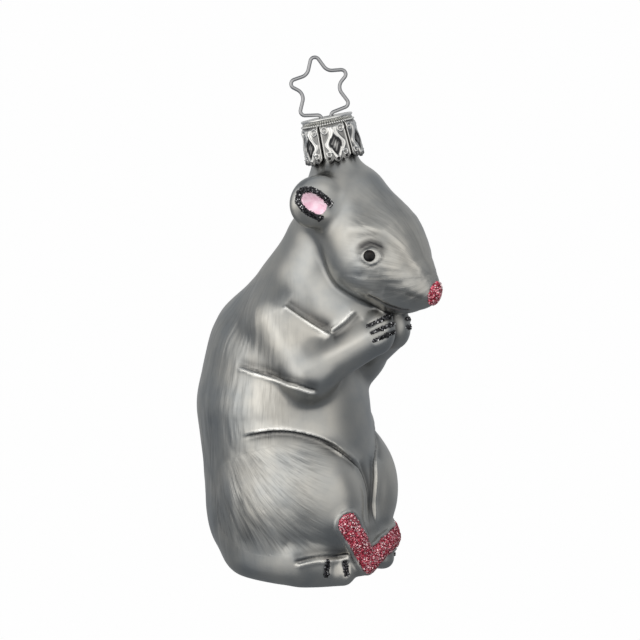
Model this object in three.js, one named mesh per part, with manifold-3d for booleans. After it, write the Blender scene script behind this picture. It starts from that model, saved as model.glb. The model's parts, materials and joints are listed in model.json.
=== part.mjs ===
// Hanging glass rat: a mould-blown, silvered glass figure with a pressed crown cap and a sprung wire hanger.
// Millimetres, +Z up. The origin is where a hook bears under the top of the wire star; the rat faces -Y.
import * as THREE from 'three';
import { mergeVertices } from 'three/addons/utils/BufferGeometryUtils.js';
import Module from 'manifold-3d';

const wasm = await Module();
wasm.setup();

const { clamp, degToRad, lerp } = THREE.MathUtils;

// Driving dimensions: fits
const FIT_GAP = 0.3; // clearance between pieces that touch
const COAT_DEPTH = 0.5; // glitter and lacquer, laid on thick

// Driving dimensions: the rat, in the figure's frame, whose origin is under the neck on the seat
const SITTING_HEIGHT = 94.8; // seat to the top of the skull
const HIP_BREADTH = 41.2; // over both thighs
const NOSE_TO_BACK = 57.3;
const BACK = 26; // how far the back lies behind the origin

const fromTop = (drop) => SITTING_HEIGHT - drop;
const fromHip = (inset) => HIP_BREADTH / 2 - inset;
const fromNose = (inset) => BACK - NOSE_TO_BACK + inset;

// Driving dimensions: glass neck
const GLASS_WALL = 1.2;
const NECK_LEAN = 14; // degrees back from the vertical
const NECK_RADIUS = 5;
const NECK_WALL = 1;
const NECK_RIM = [0, -3.5, fromTop(-9.2)]; // middle of the rim
const NECK_LENGTH = 14; // tube, from its rim into the head
const BORE_OVERRUN = 2; // how far the bore runs past both ends of the tube
const NECK_SINK = 0.4; // how much slimmer the mould's neck is than the tube that stands in it

// Driving dimensions: crown cap
const CAP_SHEET = 0.4;
const CAP_HEIGHT = 10;
const CAP_FLARE = 0.9; // how far the petals stand out at their tips
const CAP_BEAD = 0.35; // radius of the rolled rim
const PETALS = 6;
const LOBES = 3; // scallops on each petal
const SLIT_WIDTH = 0.4;
const SLIT_HEIGHT = 8.25;
const SCALLOP_DEPTH = 1.1;
const PETAL_TURN = 10.5; // degrees about the neck to a slit

// Driving dimensions: wire hanger
const WIRE = 0.9; // diameter
const STAR_REACH = 7.6; // from the middle of the star to its points
const STAR_WAIST = 3.95; // from the middle to the inner bends
const UPPER_POINT = 73; // degrees from the top point to the next
const LOWER_POINT = 133; // degrees from the top point to the lowest
const BEND = 1.3; // how far from a corner its bend starts
const STAR_STANDOFF = 1; // from the lowest points to the cap
const LEG_SPACING = 2.2; // where the legs pass the cap
const LEG_LENGTH = 15; // below the cap
const STAR_TURN = -56; // degrees about the neck, at rest

// Anatomy: each point is x, y, height above the seat and, on a limb, its radius.
// Paired forms are given for the right side, on -X, and mirrored.
const TORSO = [[0, 5.6, 20.7, 20.4], [0, 8.2, 38, 17.9], [0, 8, fromTop(43.8), 14.4],
  [0, 1.4, fromTop(31.8), 10], [0, -3.8, fromTop(18.8), 8.9]];
const TORSO_WIDTH = fromHip(2.24) / TORSO[0][3]; // breadth against depth
const RUMP = { middle: [0, 6, 13], radii: [fromHip(2.6), 18.4, 13.6], power: 2.3 };
const BASE = { middle: [-5.5, 3, 7.5], radii: [fromHip(8), 15, 8], power: 2.4 };
const CHEST = { middle: [0, -9, fromTop(33.3)], radii: [9, 10, 11] };
const THIGH = { middle: [-fromHip(11.2), 0.3, 19], radii: [11.2, 17.2, 16.8], toeIn: 12, pitch: 13 };
const FOOT = [[-fromHip(8.6), -5, 3.6, 3.4], [-fromHip(12.6), -12.2, 3.6, 2.9]];
const HEAD = [[0, -7.8, fromTop(10.2), 10.2], [0, fromNose(14.5), fromTop(19), 10.2],
  [0, fromNose(7.3), fromTop(25), 6.7], [0, fromNose(2.2), fromTop(26.7), 2.2]];
const CHEEK = { middle: [-4.8, fromNose(14.1), fromTop(21.2)], radii: [6, 8.4, 7] };
const EAR = { middle: [-11.1, -7.4, fromTop(7.2)], radii: [6, 2.8, 5.9], toeIn: -35 };
const EAR_DISH = { middle: [-15, -9.7, fromTop(6.5)], radii: [4.9, 2.9, 2.3], toeIn: -35, roll: 27 };
const LEFT_EAR_DROP = 2.2; // the left ear sits a little lower
const EYE = { middle: [-8.6, fromNose(11.1), fromTop(18.2)], radii: [1.9, 1.9, 1.9] };
const ELBOW = [-10.8, -5.5, fromTop(45.8), 5.2];
const ARM = [[-9, 3, fromTop(34.8), 7.2], ELBOW];
const FOREARM = [ELBOW, [-4.2, -17.5, fromTop(37.8), 3.9]];
const PAW = { middle: [-3.2, -19.8, fromTop(36.1)], radii: [3.3, 3.6, 4.8] };
// The tail comes round the left side from the rump, dips between the feet and ends on the right thigh
const TAIL_CORNER = [-4, -15.2, 5.8, 3];
const TAIL_END = [[-fromHip(11.6), -13.6, 17, 3.1], [-fromHip(13.6), -14.4, 12, 3.1], TAIL_CORNER];
const TAIL_ROUND = [TAIL_CORNER, [-0.6, -16, 8, 2.8], [3.4, -16.2, 9.8, 2.7], [9, -14.4, 10.4, 2.7],
  [fromHip(6.1), -10.4, 10.6, 2.7], [fromHip(2.4), 0, 10.2, 2.9], [fromHip(4.4), 11.4, 9.6, 3.1],
  [8.6, BACK - 7, 9.2, 3.4], [0, BACK - 4.6, 10, 3.6]];

// How wide the mould's fillet is where each form meets the body, or where its own links meet
const FILLET = {
  torso: 7, rump: 3, base: 3, chest: 3.5, thigh: 1.5, foot: 1.2, skull: 5, cheek: 2.5, head: 1.6, ear: 1.5,
  dish: 0.8, eye: 0.6, arm: 4, forearm: 2, paw: 1.5, link: 1, tailCorner: 1.2, tail: 0.7, neck: 1.2,
  seat: 3,
};

// Lines and spots of the coats, on the right side, as x, y and height
const EYE_RADIUS = 1.2;
const NOSE_ANGLE = 58; // degrees from the tip of the nose to the edge of its glitter
const RIM_BAND = 1.2; // width of the glitter on an ear
const HORSESHOE = { open: 6.4, closed: 4.5, breadth: 2.5 }; // half sizes of the glitter on an ear
const RIM_GAP = 48; // degrees each side of the ear's root that stay bare
const LINING = [2.9, 1]; // half length and half breadth of the pink
const LINING_COAT = 0.9; // the pink lies thick in the dish
const LINE_WIDTH = 1; // glitter between fingers and toes
const FINGER_LINE = [[-6.4, -18.4, fromTop(34)], [-4.6, -22.3, fromTop(32.4)]];
const FINGER_STEP = [0.1, -0.8, -2]; // from one line to the next
const FINGER_LINES = 3;
const LEFT_FINGERS_BACK = 1.6; // the left paw's lines lie further back
const TOE_LINES = [
  [[-fromHip(9), -10.2, 7], [-fromHip(8.7), -11.9, 3.6]],
  [[-fromHip(12.2), -13, 6.8], [-fromHip(11.2), -14.8, 4]],
];
const TAIL_BAND = 4.8;
const LINING_DEPTH = 1; // how far the pink lies behind the ear's face

// Facets
const ROOM = 9; // kept free round the figure when its skin is drawn
const REACH = [[-fromHip(-ROOM), fromNose(-ROOM), -ROOM], [fromHip(-ROOM), BACK + ROOM, NECK_RIM[2] + ROOM]];
const SKIN_CELL = 2.7; // grid for the outside of the glass
const CAVITY_CELL = 4.8; // grid for the inside
const CELL_MARGIN = 0.06; // keeps a vertex off the walls of its grid cell
const ROUND_SIDES = 72; // a multiple of the petals and their lobes
const WIRE_SIDES = 6;
const WIRE_STEPS = 120;
const STEPS = { line: 6, earRim: 28, tailEnd: 10, tailRound: 26, spot: 4, patch: 6 }; // over each coat
const RIM_STATIONS = 14; // points that an ear's horseshoe is drawn through
const BLUNT = 0.08; // share of a brush line's half width that its ends keep
const CREVICE_FILL = 1e-3; // how far a filled grid corner lies inside
const SLOPE_STEP = 0.05;
const SETTLE_PASSES = 6;

// Finishes
function finish(color, roughness, metalness) {
  return new THREE.MeshStandardMaterial({ color, roughness, metalness });
}

const SATIN_SILVER = finish(0x9c9b98, 0.36, 0.9);
const BRIGHT_TIN = finish(0xc9c9c7, 0.16, 1);
const RED_GLITTER = finish(0xaf2d46, 0.55, 0.3);
const BLACK_GLITTER = finish(0x2b2b2d, 0.55, 0.4);
const PINK_LACQUER = finish(0xf0cdda, 0.4, 0);
const BLACK_GLOSS = finish(0x0b0b0c, 0.08, 0);

// Smooth union and smooth cut of two distances
function blend(a, b, reach) {
  const h = clamp(0.5 + 0.5 * (b - a) / reach, 0, 1);
  return lerp(b, a, h) - reach * h * (1 - h);
}

function carve(a, b, reach) {
  return -blend(-a, b, reach);
}

// Distance to a tapering limb with round ends, and to a string of them
function limb([ax, ay, az, ar], [bx, by, bz, br], width = 1) {
  const [dx, dy, dz] = [(bx - ax) / width, by - ay, bz - az];
  const length2 = dx * dx + dy * dy + dz * dz;
  return (x, y, z) => {
    const [px, py, pz] = [(x - ax) / width, y - ay, z - az];
    const h = clamp((px * dx + py * dy + pz * dz) / length2, 0, 1);
    return (Math.hypot(px - h * dx, py - h * dy, pz - h * dz) - lerp(ar, br, h)) * Math.min(1, width);
  };
}

function limbs(points, reach, width = 1) {
  const links = points.slice(1).map((point, i) => limb(points[i], point, width));
  return (x, y, z) => links.map((link) => link(x, y, z)).reduce((a, b) => blend(a, b, reach));
}

// Distance to a turned ellipsoid, or to a fuller one where its power is above 2
function mass({ middle, radii, toeIn = 0, pitch = 0, roll = 0, power = 2 }) {
  const turn = new THREE.Euler(degToRad(pitch), degToRad(roll), degToRad(toeIn), 'ZXY');
  const inverse = new THREE.Matrix4().makeRotationFromEuler(turn).transpose();
  const [rx, ry, rz] = radii;
  const flattest = 1 / (2 * Math.max(...radii)); // keeps the middle of the form from dividing by nothing
  const q = new THREE.Vector3();
  return (x, y, z) => {
    q.set(x - middle[0], y - middle[1], z - middle[2]).applyMatrix4(inverse);
    const [a, b, c] = [Math.abs(q.x) / rx, Math.abs(q.y) / ry, Math.abs(q.z) / rz];
    const near = Math.max((a ** power + b ** power + c ** power) ** (1 / power), 1e-6);
    const steep = (share, radius) => (share / near) ** (power - 1) / radius;
    return (near - 1) / Math.max(Math.hypot(steep(a, rx), steep(b, ry), steep(c, rz)), flattest);
  };
}

// Axis of the neck, and a point on it below the rim, in the figure's frame
const NECK_AXIS = new THREE.Vector3(0, 0, 1).applyAxisAngle(new THREE.Vector3(1, 0, 0), -degToRad(NECK_LEAN));

function onNeck(depth) {
  return new THREE.Vector3(...NECK_RIM).addScaledVector(NECK_AXIS, -depth).toArray();
}

// The mould: one distance field for the whole figure, negative inside the glass
const torso = limbs(TORSO, FILLET.torso, TORSO_WIDTH);
const rump = mass(RUMP);
const base = mass(BASE);
const chest = mass(CHEST);
const thigh = mass(THIGH);
const foot = limbs(FOOT, FILLET.link);
const skull = limbs(HEAD, FILLET.skull);
const cheek = mass(CHEEK);
const ear = mass(EAR);
const earDish = mass(EAR_DISH);
const eye = mass(EYE);
const arm = limbs(ARM, FILLET.link);
const forearm = limbs(FOREARM, FILLET.link);
const paw = mass(PAW);
const tailEnd = limbs(TAIL_END, FILLET.link);
const tailRound = limbs(TAIL_ROUND, FILLET.link);
const neckStub = limb(
  [...onNeck(NECK_RADIUS), NECK_RADIUS - NECK_SINK],
  [...onNeck(NECK_LENGTH + BORE_OVERRUN), NECK_RADIUS - NECK_SINK],
);

function body(x, y, z) {
  const side = -Math.abs(x);
  let d = torso(x, y, z);
  d = blend(d, rump(x, y, z), FILLET.rump);
  d = blend(d, base(side, y, z), FILLET.base);
  d = blend(d, chest(x, y, z), FILLET.chest);
  d = blend(d, thigh(side, y, z), FILLET.thigh);
  d = blend(d, foot(side, y, z), FILLET.foot);
  d = blend(d, blend(skull(x, y, z), cheek(side, y, z), FILLET.cheek), FILLET.head);
  const earHeight = x > 0 ? z + LEFT_EAR_DROP : z;
  d = blend(d, ear(side, y, earHeight), FILLET.ear);
  d = carve(d, earDish(side, y, earHeight), FILLET.dish);
  d = blend(d, eye(side, y, z), FILLET.eye);
  d = blend(d, arm(side, y, z), FILLET.arm);
  d = blend(d, forearm(side, y, z), FILLET.forearm);
  return blend(d, paw(side, y, z), FILLET.paw);
}

function figure(x, y, z) {
  let d = body(x, y, z);
  d = blend(d, blend(tailEnd(x, y, z), tailRound(x, y, z), FILLET.tailCorner), FILLET.tail);
  d = blend(d, neckStub(x, y, z), FILLET.neck);
  return carve(d, z, FILLET.seat);
}

const cavity = (x, y, z) => figure(x, y, z) + GLASS_WALL;

function slope(field, p, target) {
  const h = SLOPE_STEP;
  return target.set(
    field(p.x + h, p.y, p.z) - field(p.x - h, p.y, p.z),
    field(p.x, p.y + h, p.z) - field(p.x, p.y - h, p.z),
    field(p.x, p.y, p.z + h) - field(p.x, p.y, p.z - h),
  ).divideScalar(2 * h);
}

// Moves a point along the slope of the field until it lies at the given distance
function settle(field, p, level) {
  const g = new THREE.Vector3();
  for (let pass = 0; pass < SETTLE_PASSES; pass += 1) {
    slope(field, p, g);
    p.addScaledVector(g, (level - field(p.x, p.y, p.z)) / Math.max(g.lengthSq(), 0.1));
  }
  return p;
}

function indexed(points, faces) {
  const geometry = new THREE.BufferGeometry();
  const places = points.flatMap((p) => [p.x, p.y, p.z]);
  geometry.setAttribute('position', new THREE.Float32BufferAttribute(places, 3));
  geometry.setIndex(faces.flat());
  return geometry;
}

// Turns a closed mesh's faces outwards
function facingOut(geometry) {
  const { position } = geometry.attributes;
  const order = geometry.index.array;
  const corner = (i) => new THREE.Vector3().fromBufferAttribute(position, order[i]);
  let volume = 0;
  for (let i = 0; i < order.length; i += 3) volume += corner(i).dot(corner(i + 1).cross(corner(i + 2)));
  if (volume < 0) order.reverse();
  return geometry;
}

// Fills crevices too narrow for the grid: a cell wall with corners in and out by turns has one filled
function fillCrevices(nodes, count, stride, values) {
  let filled = false;
  nodes.forEach((node, start) => {
    for (let a = 0; a < 3; a += 1) {
      const b = (a + 1) % 3;
      if (node[a] + 1 >= count[a] || node[b] + 1 >= count[b]) continue;
      const wall = [start, start + stride[a], start + stride[a] + stride[b], start + stride[b]];
      const [p, q, r, s] = wall.map((index) => values[index] < 0);
      if (p !== r || q !== s || p === q) continue;
      const [first, second] = p ? [wall[1], wall[3]] : [wall[0], wall[2]];
      values[values[first] < values[second] ? first : second] = -CREVICE_FILL;
      filled = true;
    }
  });
  return filled;
}

// Closed mesh of a field, with one vertex in each grid cell that its surface crosses, grown to a level
function surfaceNet(field, cell, level = 0) {
  const onGrid = (corner) => new THREE.Vector3(...corner).divideScalar(cell).round().multiplyScalar(cell);
  const [low, high] = REACH.map(onGrid);
  const count = high.clone().sub(low).divideScalar(cell).ceil().addScalar(1).toArray();
  const stride = [1, count[0], count[0] * count[1]];
  const at = (node) => node[0] * stride[0] + node[1] * stride[1] + node[2] * stride[2];
  const place = (node) => new THREE.Vector3(...node).multiplyScalar(cell).add(low);
  const values = new Float64Array(count[0] * count[1] * count[2]);
  const nodes = [];
  for (let k = 0; k < count[2]; k += 1) {
    for (let j = 0; j < count[1]; j += 1) {
      for (let i = 0; i < count[0]; i += 1) {
        nodes.push([i, j, k]);
        const p = place([i, j, k]);
        values[at([i, j, k])] = field(p.x, p.y, p.z);
      }
    }
  }
  const inside = (index) => values[index] < 0;
  while (fillCrevices(nodes, count, stride, values));
  const sums = new Map();
  const addCrossing = (cellIndex, p) => {
    const sum = sums.get(cellIndex) ?? { total: new THREE.Vector3(), crossings: 0 };
    sum.total.add(p);
    sum.crossings += 1;
    sums.set(cellIndex, sum);
  };
  const quads = [];
  for (const node of nodes) {
    for (let a = 0; a < 3; a += 1) {
      const [b, c] = [(a + 1) % 3, (a + 2) % 3];
      const start = at(node);
      const end = start + stride[a];
      if (node[a] + 1 >= count[a] || inside(start) === inside(end)) continue;
      const crossing = place(node);
      const share = values[start] / (values[start] - values[end]);
      crossing.setComponent(a, crossing.getComponent(a) + cell * share);
      const ring = [start - stride[b] - stride[c], start - stride[c], start, start - stride[b]];
      ring.forEach((cellIndex) => addCrossing(cellIndex, crossing));
      quads.push(inside(start) ? ring : ring.reverse());
    }
  }
  const order = new Map([...sums.keys()].map((cellIndex, i) => [cellIndex, i]));
  const points = [...sums].map(([cellIndex, { total, crossings }]) => {
    const corner = place(nodes[cellIndex]).addScalar(CELL_MARGIN * cell);
    const opposite = corner.clone().addScalar((1 - 2 * CELL_MARGIN) * cell);
    const p = settle(field, total.divideScalar(crossings), 0).clamp(corner, opposite);
    return level === 0 ? p : settle(field, p, level);
  });
  const faces = quads.flatMap((ring) => {
    const [p, q, r, s] = ring.map((cellIndex) => order.get(cellIndex));
    const splitPR = points[p].distanceTo(points[r]) < points[q].distanceTo(points[s]);
    return splitPR ? [[p, q, r], [p, r, s]] : [[p, q, s], [q, r, s]];
  });
  return indexed(points, faces);
}

// Between three.js geometry and the solids that are joined and cut
function solid(geometry) {
  const bare = geometry.clone();
  bare.deleteAttribute('normal');
  bare.deleteAttribute('uv');
  const merged = mergeVertices(bare, 1e-4);
  return new wasm.Manifold(new wasm.Mesh({
    numProp: 3,
    vertProperties: new Float32Array(merged.attributes.position.array),
    triVerts: new Uint32Array(merged.index.array),
  }));
}

function geometryOf(manifold) {
  const { vertProperties, triVerts } = manifold.getMesh();
  const geometry = new THREE.BufferGeometry();
  geometry.setAttribute('position', new THREE.BufferAttribute(new Float32Array(vertProperties), 3));
  geometry.setIndex(new THREE.BufferAttribute(new Uint32Array(triVerts), 1));
  return geometry;
}

function largest(manifold) {
  return manifold.decompose().sort((a, b) => b.volume() - a.volume())[0];
}

// A round bar along the neck's axis, from one depth below the rim to another
function neckBar(radius, from, to) {
  const bar = new THREE.CylinderGeometry(radius, radius, to - from, ROUND_SIDES / 2);
  bar.rotateX(Math.PI / 2).translate(0, 0, -(from + to) / 2);
  bar.rotateX(-degToRad(NECK_LEAN)).translate(...NECK_RIM);
  return bar;
}

// The mould's inside as a solid
const mould = solid(surfaceNet(figure, SKIN_CELL));

// The blown shell: mould shape and neck tube, less the hollow and the neck's bore
function glassFigure() {
  const hollow = largest(solid(surfaceNet(cavity, CAVITY_CELL)));
  const neck = solid(neckBar(NECK_RADIUS, 0, NECK_LENGTH));
  const bore = solid(neckBar(NECK_RADIUS - NECK_WALL, -BORE_OVERRUN, NECK_LENGTH + BORE_OVERRUN));
  return geometryOf(mould.add(neck).subtract(hollow.add(bore)));
}

// What the coats bed on: the faceted skin, grown by the fit gap where it has room to grow
const bed = mould.add(solid(surfaceNet(figure, SKIN_CELL, FIT_GAP)));

// A thin coat over the glass: a grid of seed points settled below and above the skin, cut off at its bed
function coat(seed, rows, columns, { depth = COAT_DEPTH, place = (p) => p } = {}) {
  const points = [];
  const faces = [];
  const index = (i, j, layer) => (i * (columns + 1) + j) * 2 + layer;
  for (let i = 0; i <= rows; i += 1) {
    for (let j = 0; j <= columns; j += 1) {
      const p = place(seed(i / rows, 2 * j / columns - 1));
      points.push(settle(figure, p.clone(), -depth), settle(figure, p.clone(), FIT_GAP + depth));
    }
  }
  const quad = (p, q, r, s) => faces.push([p, q, r], [p, r, s]);
  for (let i = 0; i < rows; i += 1) {
    for (let j = 0; j < columns; j += 1) {
      quad(index(i, j, 1), index(i + 1, j, 1), index(i + 1, j + 1, 1), index(i, j + 1, 1));
      quad(index(i, j, 0), index(i, j + 1, 0), index(i + 1, j + 1, 0), index(i + 1, j, 0));
    }
    quad(index(i, 0, 0), index(i + 1, 0, 0), index(i + 1, 0, 1), index(i, 0, 1));
    quad(index(i, columns, 1), index(i + 1, columns, 1), index(i + 1, columns, 0), index(i, columns, 0));
  }
  for (let j = 0; j < columns; j += 1) {
    quad(index(0, j, 1), index(0, j + 1, 1), index(0, j + 1, 0), index(0, j, 0));
    quad(index(rows, j, 0), index(rows, j + 1, 0), index(rows, j + 1, 1), index(rows, j, 1));
  }
  return geometryOf(largest(solid(facingOut(indexed(points, faces))).subtract(bed)));
}

// A brushed line along a curve, with round ends
function brushLine(points, width, rows, options) {
  const curve = new THREE.CatmullRomCurve3(points.map((p) => new THREE.Vector3(...p.slice(0, 3))));
  const up = new THREE.Vector3();
  return coat((s, t) => {
    const p = settle(figure, curve.getPointAt(s), FIT_GAP);
    const across = curve.getTangentAt(s).cross(slope(figure, p, up)).normalize();
    const toEnd = Math.min(s, 1 - s) * curve.getLength() / (width / 2);
    const taper = toEnd < 1 ? Math.sqrt(1 - (1 - Math.max(toEnd, BLUNT)) ** 2) : 1;
    return p.addScaledVector(across, t * taper * width / 2);
  }, rows, 2, options);
}

// Where a point of a coat's square grid goes on a disc
function onDisc(s, t) {
  const r = 2 * s - 1;
  return [r * Math.sqrt(1 - t * t / 2), t * Math.sqrt(1 - r * r / 2)];
}

// A round or oval spot about a point, in the plane of two directions
function spot(middle, u, v, rows, options) {
  return coat((s, t) => {
    const [a, b] = onDisc(s, t);
    return new THREE.Vector3(...middle).addScaledVector(u, a).addScaledVector(v, b);
  }, rows, rows, options);
}

// The ear's own directions: across it towards the root, along it, and out of its face
const earTurn = new THREE.Euler(0, degToRad(EAR_DISH.roll), degToRad(EAR.toeIn), 'ZXY');
const earLong = new THREE.Vector3(1, 0, 0).applyEuler(earTurn);
const earShort = new THREE.Vector3(0, 0, 1).applyEuler(earTurn);
const earFacing = new THREE.Vector3(0, -1, 0).applyEuler(earTurn);
const earFace = new THREE.Vector3(...EAR_DISH.middle);
const dishOffset = earFace.clone().sub(new THREE.Vector3(...EAR.middle)).dot(earFacing);
earFace.addScaledVector(earFacing, EAR.radii[1] - dishOffset);

// A horseshoe round the ear's dish, open towards the root
function earRim(options) {
  const points = [];
  for (let i = 0; i <= RIM_STATIONS; i += 1) {
    const angle = degToRad(lerp(RIM_GAP, 360 - RIM_GAP, i / RIM_STATIONS));
    const long = Math.cos(angle) * (Math.cos(angle) > 0 ? HORSESHOE.open : HORSESHOE.closed);
    const p = earFace.clone().addScaledVector(earLong, long);
    points.push(p.addScaledVector(earShort, Math.sin(angle) * HORSESHOE.breadth).toArray());
  }
  return brushLine(points, RIM_BAND, STEPS.earRim, options);
}

function earLining(options) {
  const [long, short] = LINING;
  const deep = earFace.clone().addScaledVector(earFacing, -LINING_DEPTH);
  const [u, v] = [earLong.clone().multiplyScalar(long), earShort.clone().multiplyScalar(short)];
  return spot(deep.toArray(), u, v, STEPS.patch, { depth: LINING_COAT, ...options });
}

function eyeDrop(options) {
  const outward = slope(figure, new THREE.Vector3(...EYE.middle), new THREE.Vector3()).normalize();
  const u = new THREE.Vector3(0, 0, 1).cross(outward).normalize();
  const v = outward.clone().cross(u);
  const front = new THREE.Vector3(...EYE.middle).addScaledVector(outward, EYE.radii[0]);
  [u, v].forEach((across) => across.multiplyScalar(EYE_RADIUS));
  return spot(front.toArray(), u, v, STEPS.spot, options);
}

// The glitter cap on the nose reaches back from its tip by an angle about the nose's middle
function noseCap() {
  const [tip, before] = [HEAD.at(-1), HEAD.at(-2)].map((p) => new THREE.Vector3(...p.slice(0, 3)));
  const axis = tip.clone().sub(before).normalize();
  const u = new THREE.Vector3(1, 0, 0);
  const v = axis.clone().cross(u);
  return coat((s, t) => {
    const [a, b] = onDisc(s, t);
    const swing = Math.hypot(a, b) * degToRad(NOSE_ANGLE);
    const side = u.clone().multiplyScalar(a).addScaledVector(v, b).setLength(Math.sin(swing));
    const outward = axis.clone().multiplyScalar(Math.cos(swing)).add(side);
    return tip.clone().addScaledVector(outward, HEAD.at(-1)[3]);
  }, STEPS.patch, STEPS.patch);
}

function fingerLine(index, options) {
  const line = FINGER_LINE.map((p) => p.map((value, axis) => value + FINGER_STEP[axis] * index));
  return brushLine(line, LINE_WIDTH, STEPS.line, options);
}

// Two runs of glitter along the top of the tail, that meet in a round corner between the feet
function tailBand() {
  const onTop = ([x, y, z, radius]) => {
    const p = new THREE.Vector3(x, y, z);
    return p.addScaledVector(slope(body, p, new THREE.Vector3()).normalize(), radius);
  };
  const [end, round] = [TAIL_END, TAIL_ROUND].map((points) => points.map(onTop));
  const corner = round[0];
  const u = end.at(-2).clone().sub(corner).setLength(TAIL_BAND / 2);
  const v = round[1].clone().sub(corner).cross(u).cross(u).setLength(TAIL_BAND / 2);
  const pieces = [
    spot(corner.toArray(), u, v, STEPS.spot, { depth: 0.8 * COAT_DEPTH }),
    brushLine(end.map((p) => p.toArray()), TAIL_BAND, STEPS.tailEnd, { depth: 0.9 * COAT_DEPTH }),
    brushLine(round.map((p) => p.toArray()), TAIL_BAND, STEPS.tailRound),
  ];
  return geometryOf(pieces.map(solid).reduce((joined, run) => joined.add(run)));
}

// Pressed crown: a flared, scalloped cup with a rolled rim, slit into petals; its top plate is at height 0
const CAP_BORE = NECK_RADIUS + FIT_GAP;
const LEG_HOLE = LEG_SPACING / 2 + WIRE / 2 + FIT_GAP;

function crownCap() {
  const outer = CAP_BORE + CAP_SHEET;
  const bead = [-90, -45, 0, 45, 90].map((angle) => new THREE.Vector2(
    outer + CAP_BEAD * Math.cos(degToRad(angle)),
    CAP_BEAD * Math.sin(degToRad(angle)) - CAP_BEAD,
  ));
  const profile = [
    new THREE.Vector2(outer + CAP_FLARE, -CAP_HEIGHT),
    ...bead,
    new THREE.Vector2(LEG_HOLE, 0),
    new THREE.Vector2(LEG_HOLE, -CAP_SHEET),
    new THREE.Vector2(CAP_BORE, -CAP_SHEET),
    new THREE.Vector2(CAP_BORE + CAP_FLARE, -CAP_HEIGHT),
    new THREE.Vector2(outer + CAP_FLARE, -CAP_HEIGHT),
  ];
  const cup = new THREE.LatheGeometry(profile, ROUND_SIDES).rotateX(Math.PI / 2);
  const { position } = cup.attributes;
  for (let i = 0; i < position.count; i += 1) {
    if (position.getZ(i) > SCALLOP_DEPTH - CAP_HEIGHT) continue;
    const around = Math.atan2(position.getY(i), position.getX(i));
    const lobe = Math.sqrt(Math.abs(Math.sin(around * PETALS * LOBES / 2)));
    position.setZ(i, position.getZ(i) + SCALLOP_DEPTH * (1 - lobe));
  }
  let crown = solid(facingOut(mergeVertices(cup.deleteAttribute('normal').deleteAttribute('uv'))));
  for (let i = 0; i < PETALS; i += 1) {
    const slit = new THREE.BoxGeometry(4 * CAP_FLARE + 4 * CAP_SHEET, SLIT_WIDTH, SLIT_HEIGHT);
    slit.translate(outer, 0, SLIT_HEIGHT / 2 - CAP_HEIGHT).rotateZ(2 * Math.PI * i / PETALS);
    crown = crown.subtract(solid(slit));
  }
  return geometryOf(crown).rotateZ(degToRad(PETAL_TURN));
}

// Star hanger, in the plane of x and z with z up the neck: star points and bends, then a leg down each side
const starPoint = (angle, reach) => new THREE.Vector3(Math.sin(degToRad(angle)), 0, Math.cos(degToRad(angle)))
  .multiplyScalar(reach);
const UPPER_BEND = UPPER_POINT / 2;
const LOWER_BEND = (UPPER_POINT + LOWER_POINT) / 2;
const starBottom = starPoint(LOWER_POINT, STAR_REACH).z - WIRE / 2;
const CAP_BELOW_STAR = STAR_STANDOFF - starBottom; // from the middle of the star to the cap's top
const LEG_SPREAD = NECK_RADIUS - NECK_WALL - FIT_GAP - WIRE / 2;

function roundedPath(corners) {
  const path = new THREE.CurvePath();
  let from = corners[0];
  corners.slice(1, -1).forEach((corner, i) => {
    const before = corner.clone().add(corners[i].clone().sub(corner).setLength(BEND));
    const after = corner.clone().add(corners[i + 2].clone().sub(corner).setLength(BEND));
    path.add(new THREE.LineCurve3(from, before));
    path.add(new THREE.QuadraticBezierCurve3(before, corner, after));
    from = after;
  });
  path.add(new THREE.LineCurve3(from, corners.at(-1)));
  return path;
}

function hangerPath() {
  const half = [
    starPoint(UPPER_BEND, STAR_WAIST),
    starPoint(UPPER_POINT, STAR_REACH),
    starPoint(LOWER_BEND, STAR_WAIST),
    starPoint(LOWER_POINT, STAR_REACH),
    new THREE.Vector3(LEG_SPACING / 2, 0, BEND / 2 - CAP_BELOW_STAR),
    new THREE.Vector3(LEG_SPACING / 2, 0, -CAP_BELOW_STAR - 2 * BEND),
    new THREE.Vector3(LEG_SPREAD, 0, -CAP_BELOW_STAR - LEG_LENGTH / 2),
    new THREE.Vector3(LEG_SPREAD, 0, -CAP_BELOW_STAR - LEG_LENGTH),
  ];
  const other = half.map((p) => p.clone().setX(-p.x)).reverse();
  return roundedPath([...other, starPoint(0, STAR_REACH), ...half]);
}

const hangerLine = hangerPath();
const starTop = Math.max(...hangerLine.getSpacedPoints(WIRE_STEPS).map((p) => p.z));
const STAR_MIDDLE = WIRE / 2 - starTop; // below the hook
const CAP_TOP = STAR_MIDDLE - CAP_BELOW_STAR;
const RIM_DEPTH = CAP_TOP - CAP_SHEET - FIT_GAP;

function starHanger() {
  const section = new THREE.Shape();
  const rim = Array.from({ length: WIRE_SIDES }, (_, i) => 2 * Math.PI * i / WIRE_SIDES);
  section.setFromPoints(rim.map((a) => new THREE.Vector2(Math.cos(a), Math.sin(a)).multiplyScalar(WIRE / 2)));
  const along = { steps: WIRE_STEPS, extrudePath: hangerLine, bevelEnabled: false };
  return new THREE.ExtrudeGeometry(section, along);
}

// Assembly
function piece(name, geometry, material, parent) {
  const mesh = new THREE.Mesh(geometry, material);
  mesh.name = name;
  parent.add(mesh);
  return mesh;
}

// A coat on the right side, and the same on the left, which may lie lower or further back
function pair(name, make, material, parent, { drop = 0, back = 0 } = {}) {
  const [stem, ...rest] = name.split('#');
  const place = (p) => p.set(-p.x, p.y + back, p.z - drop);
  piece([stem, 'right', ...rest].join('_'), make(), material, parent);
  piece([stem, 'left', ...rest].join('_'), make({ place }), material, parent);
}

const ornament = new THREE.Group();

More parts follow.
